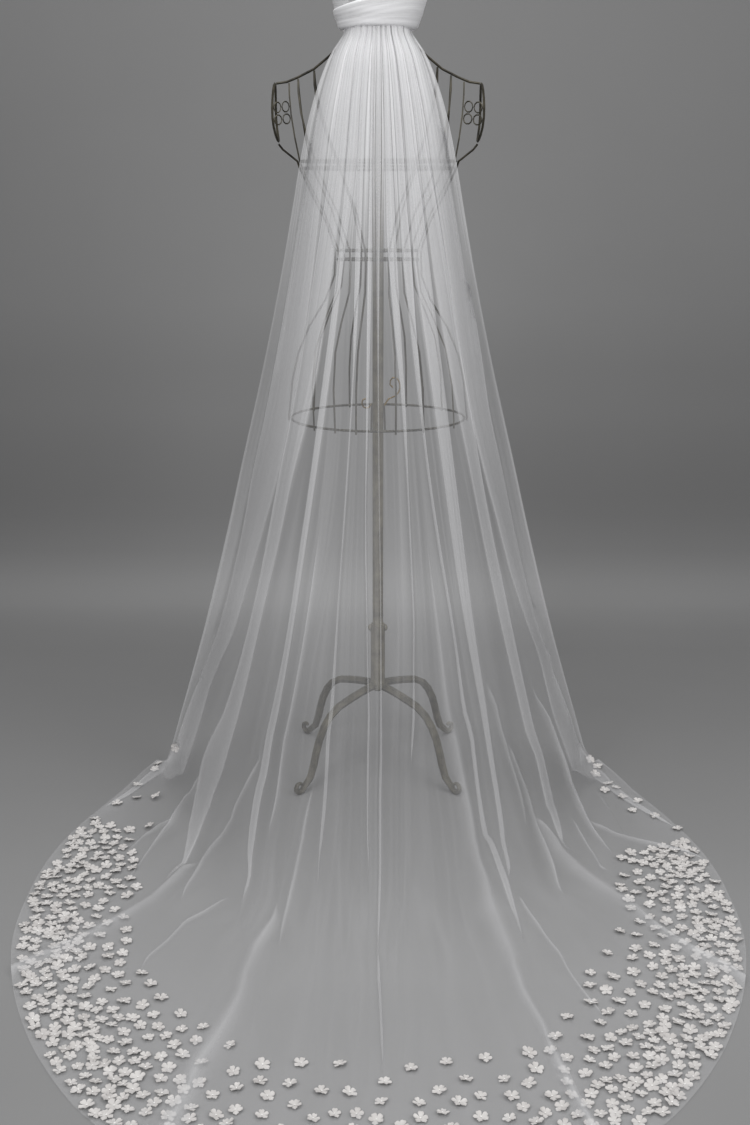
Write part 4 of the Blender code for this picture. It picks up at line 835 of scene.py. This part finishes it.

# ---- The wire form and its stand keep their own shapes
# Every metal carries painted highlights in its paler patches; the legs and the pole take paler copies of the
# same iron
iron = metal_paint("dark bronzed iron with painted highlights", (0.008, 0.0075, 0.006, 1), (0.085, 0.076, 0.052, 1), 0.35, 0.40)
leg_iron = metal_paint("paler bronzed iron with painted highlights", (0.028, 0.026, 0.020, 1), (0.125, 0.113, 0.080, 1), 0.30, 0.40)
pole_iron = metal_paint("palest bronzed iron with painted highlights", (0.075, 0.069, 0.054, 1), (0.220, 0.200, 0.150, 1), 0.30, 0.40)
brass = metal_paint("brass with painted highlights", (0.16, 0.10, 0.035, 1), (0.48, 0.33, 0.12, 1), 0.85, 0.28)
FINISHES = (("ornament", brass), ("leg", leg_iron), (("pole", "sleeve", "knob"), pole_iron), ("", iron))
for name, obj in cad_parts.items():
    if name.startswith(("veil", "wrap")):
        continue
    obj.data.materials.clear()
    obj.data.materials.append(next(finish for start, finish in FINISHES if name.startswith(start)))

# ---- Stage, light and camera
WALL_Y, WALL_TOP = 2.25, 6.0
COVE = 0.60  # radius of the backdrop's sweep up from the floor
FLOOR_END = 1.35
# Closer stations behind the veil, and closer rows where the painted light and shade change
ACROSS = np.concatenate(((-7.0,), np.linspace(-2.4, 2.4, 17), (7.0,)))
FLOOR_ROWS = (-8.0, -1.6, -1.1, -0.8, -0.5, -0.24, 0.0, 0.3, 0.5, 0.66, 0.83, 0.99, 1.15, FLOOR_END)
# Painted light and shade on the plain grey: how pale it is painted along the floor (y) and up the backdrop
# (z), darkest a little above the backdrop's foot
FLOOR_PAINTED_LIGHT_AND_SHADE = np.array((
    (-6.0, 0.220), (-0.60, 0.227), (-0.43, 0.235), (-0.30, 0.247), (0.02, 0.250), (0.20, 0.236),
    (0.43, 0.220), (0.69, 0.210), (0.99, 0.203), (1.35, 0.190), (1.75, 0.222)))
WALL_PAINTED_LIGHT_AND_SHADE = np.array((
    (0.0, 0.218), (0.008, 0.215), (0.095, 0.152), (0.214, 0.127), (0.35, 0.137), (0.50, 0.162), (0.81, 0.192),
    (1.10, 0.198), (1.62, 0.198), (6.0, 0.198)))
# Painted light: how much paler the backdrop is painted behind the middle, by height, and the floor under the
# train
MIDDLE_PAINTED_LIGHT = np.array(((0.0, 0.32), (0.2, 0.40), (0.8, 0.42), (1.1, 0.30), (1.6, 0.20), (6.0, 0.18)))
MIDDLE_WIDTH, TRAIN_WIDTH, TRAIN_PAINTED_LIGHT = 0.9, 0.55, 0.07
MIDDLE_BY_Y, TRAIN_BY_Y = ((1.0, 1.7), (0.0, 1.0)), ((-0.25, 0.0), (1.0, 0.0))
CLOUDS = 0.12
stage_grey = Paint("seamless grey", Roughness=0.95, Specular_IOR_Level=0.1)
cloudy = stage_grey.noise(stage_grey.coordinates("Object"), scale=1.4, detail=3.0)
# The grey carries painted light and shade, times random clouds
painted_light_tone = stage_grey.attribute("painted_light_tone") * (1.0 - CLOUDS / 2 + CLOUDS * cloudy)
# Seen from behind, the backdrop is clear, so that a look from there shows the veil
stage_grey.set(stage_grey.surface, {"Base_Color": stage_grey.mix(painted_light_tone, (0, 0, 0, 1), (1, 1, 1, 1)),
                                    "Alpha": 1.0 - stage_grey.backfacing()})


def stage_sheet(name, profile):
    """A sheet from left to right along rows of y and z, with painted light and shade in its grey, painted
    paler behind and under the veil.
    """
    bm = grid(len(ACROSS), len(profile))
    painted_tones = []
    for vert in bm.verts:
        row, column = divmod(vert.index, len(ACROSS))
        x, (y, z) = ACROSS[column], profile[row]
        vert.co = (x, y, z)
        # painted light and shade by height and along the floor, with painted pools of light behind and under
        # the veil
        pale = curve(WALL_PAINTED_LIGHT_AND_SHADE, z) if z > 0 else curve(FLOOR_PAINTED_LIGHT_AND_SHADE, y)
        middle = np.exp(-(x / MIDDLE_WIDTH) ** 2) * np.interp(y, *MIDDLE_BY_Y)
        train = np.exp(-(x / TRAIN_WIDTH) ** 2) * np.interp(y, *TRAIN_BY_Y)
        painted_tones.append(float(pale * (1 + curve(MIDDLE_PAINTED_LIGHT, z) * middle + TRAIN_PAINTED_LIGHT * train)))
    bmesh.ops.reverse_faces(bm, faces=bm.faces)
    obj = placed(name, bm, stage_grey.material)
    obj.data.attributes.new("painted_light_tone", "FLOAT", "POINT").data.foreach_set("value", painted_tones)
    return obj


bends = np.radians(np.linspace(0, 90, 15))
sweep = [(WALL_Y - COVE * (1 - math.sin(bend)), COVE * (1 - math.cos(bend))) for bend in bends]
wall_rows = [(WALL_Y, z) for z in np.linspace(COVE + 0.2, WALL_TOP, 28)]
floor = stage_sheet("floor", [(y, 0.0) for y in FLOOR_ROWS])
backdrop = stage_sheet("backdrop", [(FLOOR_END, 0.0), (FLOOR_END + 0.15, 0.0)] + sweep + wall_rows)

LIGHTS = (  # name, place, what it is aimed at, size, power
    ("key", (-1.6, -3.6, 3.8), (0, 0.2, 0.6), 2.6, 130),
    ("fill", (2.4, -2.6, 3.0), (0, 0.3, 0.7), 2.6, 70),
    ("overhead", (0, 0.0, 4.2), (0, 0.0, 0), 3.0, 60),
)
for name, place, aim, size, power in LIGHTS:
    light = bpy.data.lights.new(name, "AREA")
    light.shape = "DISK"
    light.size = size
    light.energy = power
    lamp = bpy.data.objects.new(name, light)
    lamp.location = place
    lamp.rotation_euler = (Vector(aim) - Vector(place)).to_track_quat("-Z", "Y").to_euler()
    bpy.context.scene.collection.objects.link(lamp)
world = bpy.data.worlds.new("studio")
world.use_nodes = True
background = world.node_tree.nodes["Background"]
background.inputs["Color"].default_value = (0.55, 0.55, 0.56, 1)
background.inputs["Strength"].default_value = 0.55
bpy.context.scene.world = world

camera = bpy.data.cameras.new("camera")
camera.sensor_fit = "HORIZONTAL"
camera.sensor_width = SENSOR
camera.lens = FOCAL_PIXELS * SENSOR / IMAGE_WIDTH
camera_object = bpy.data.objects.new("camera", camera)
camera_object.location = CAMERA
camera_object.rotation_euler = (math.radians(CAMERA_TURN), 0, 0)
bpy.context.scene.collection.objects.link(camera_object)
bpy.context.scene.camera = camera_object
bpy.context.scene.view_settings.view_transform = "Standard"
bpy.context.scene.cycles.transparent_max_bounces = 64  # the veil's folds lie many layers deep
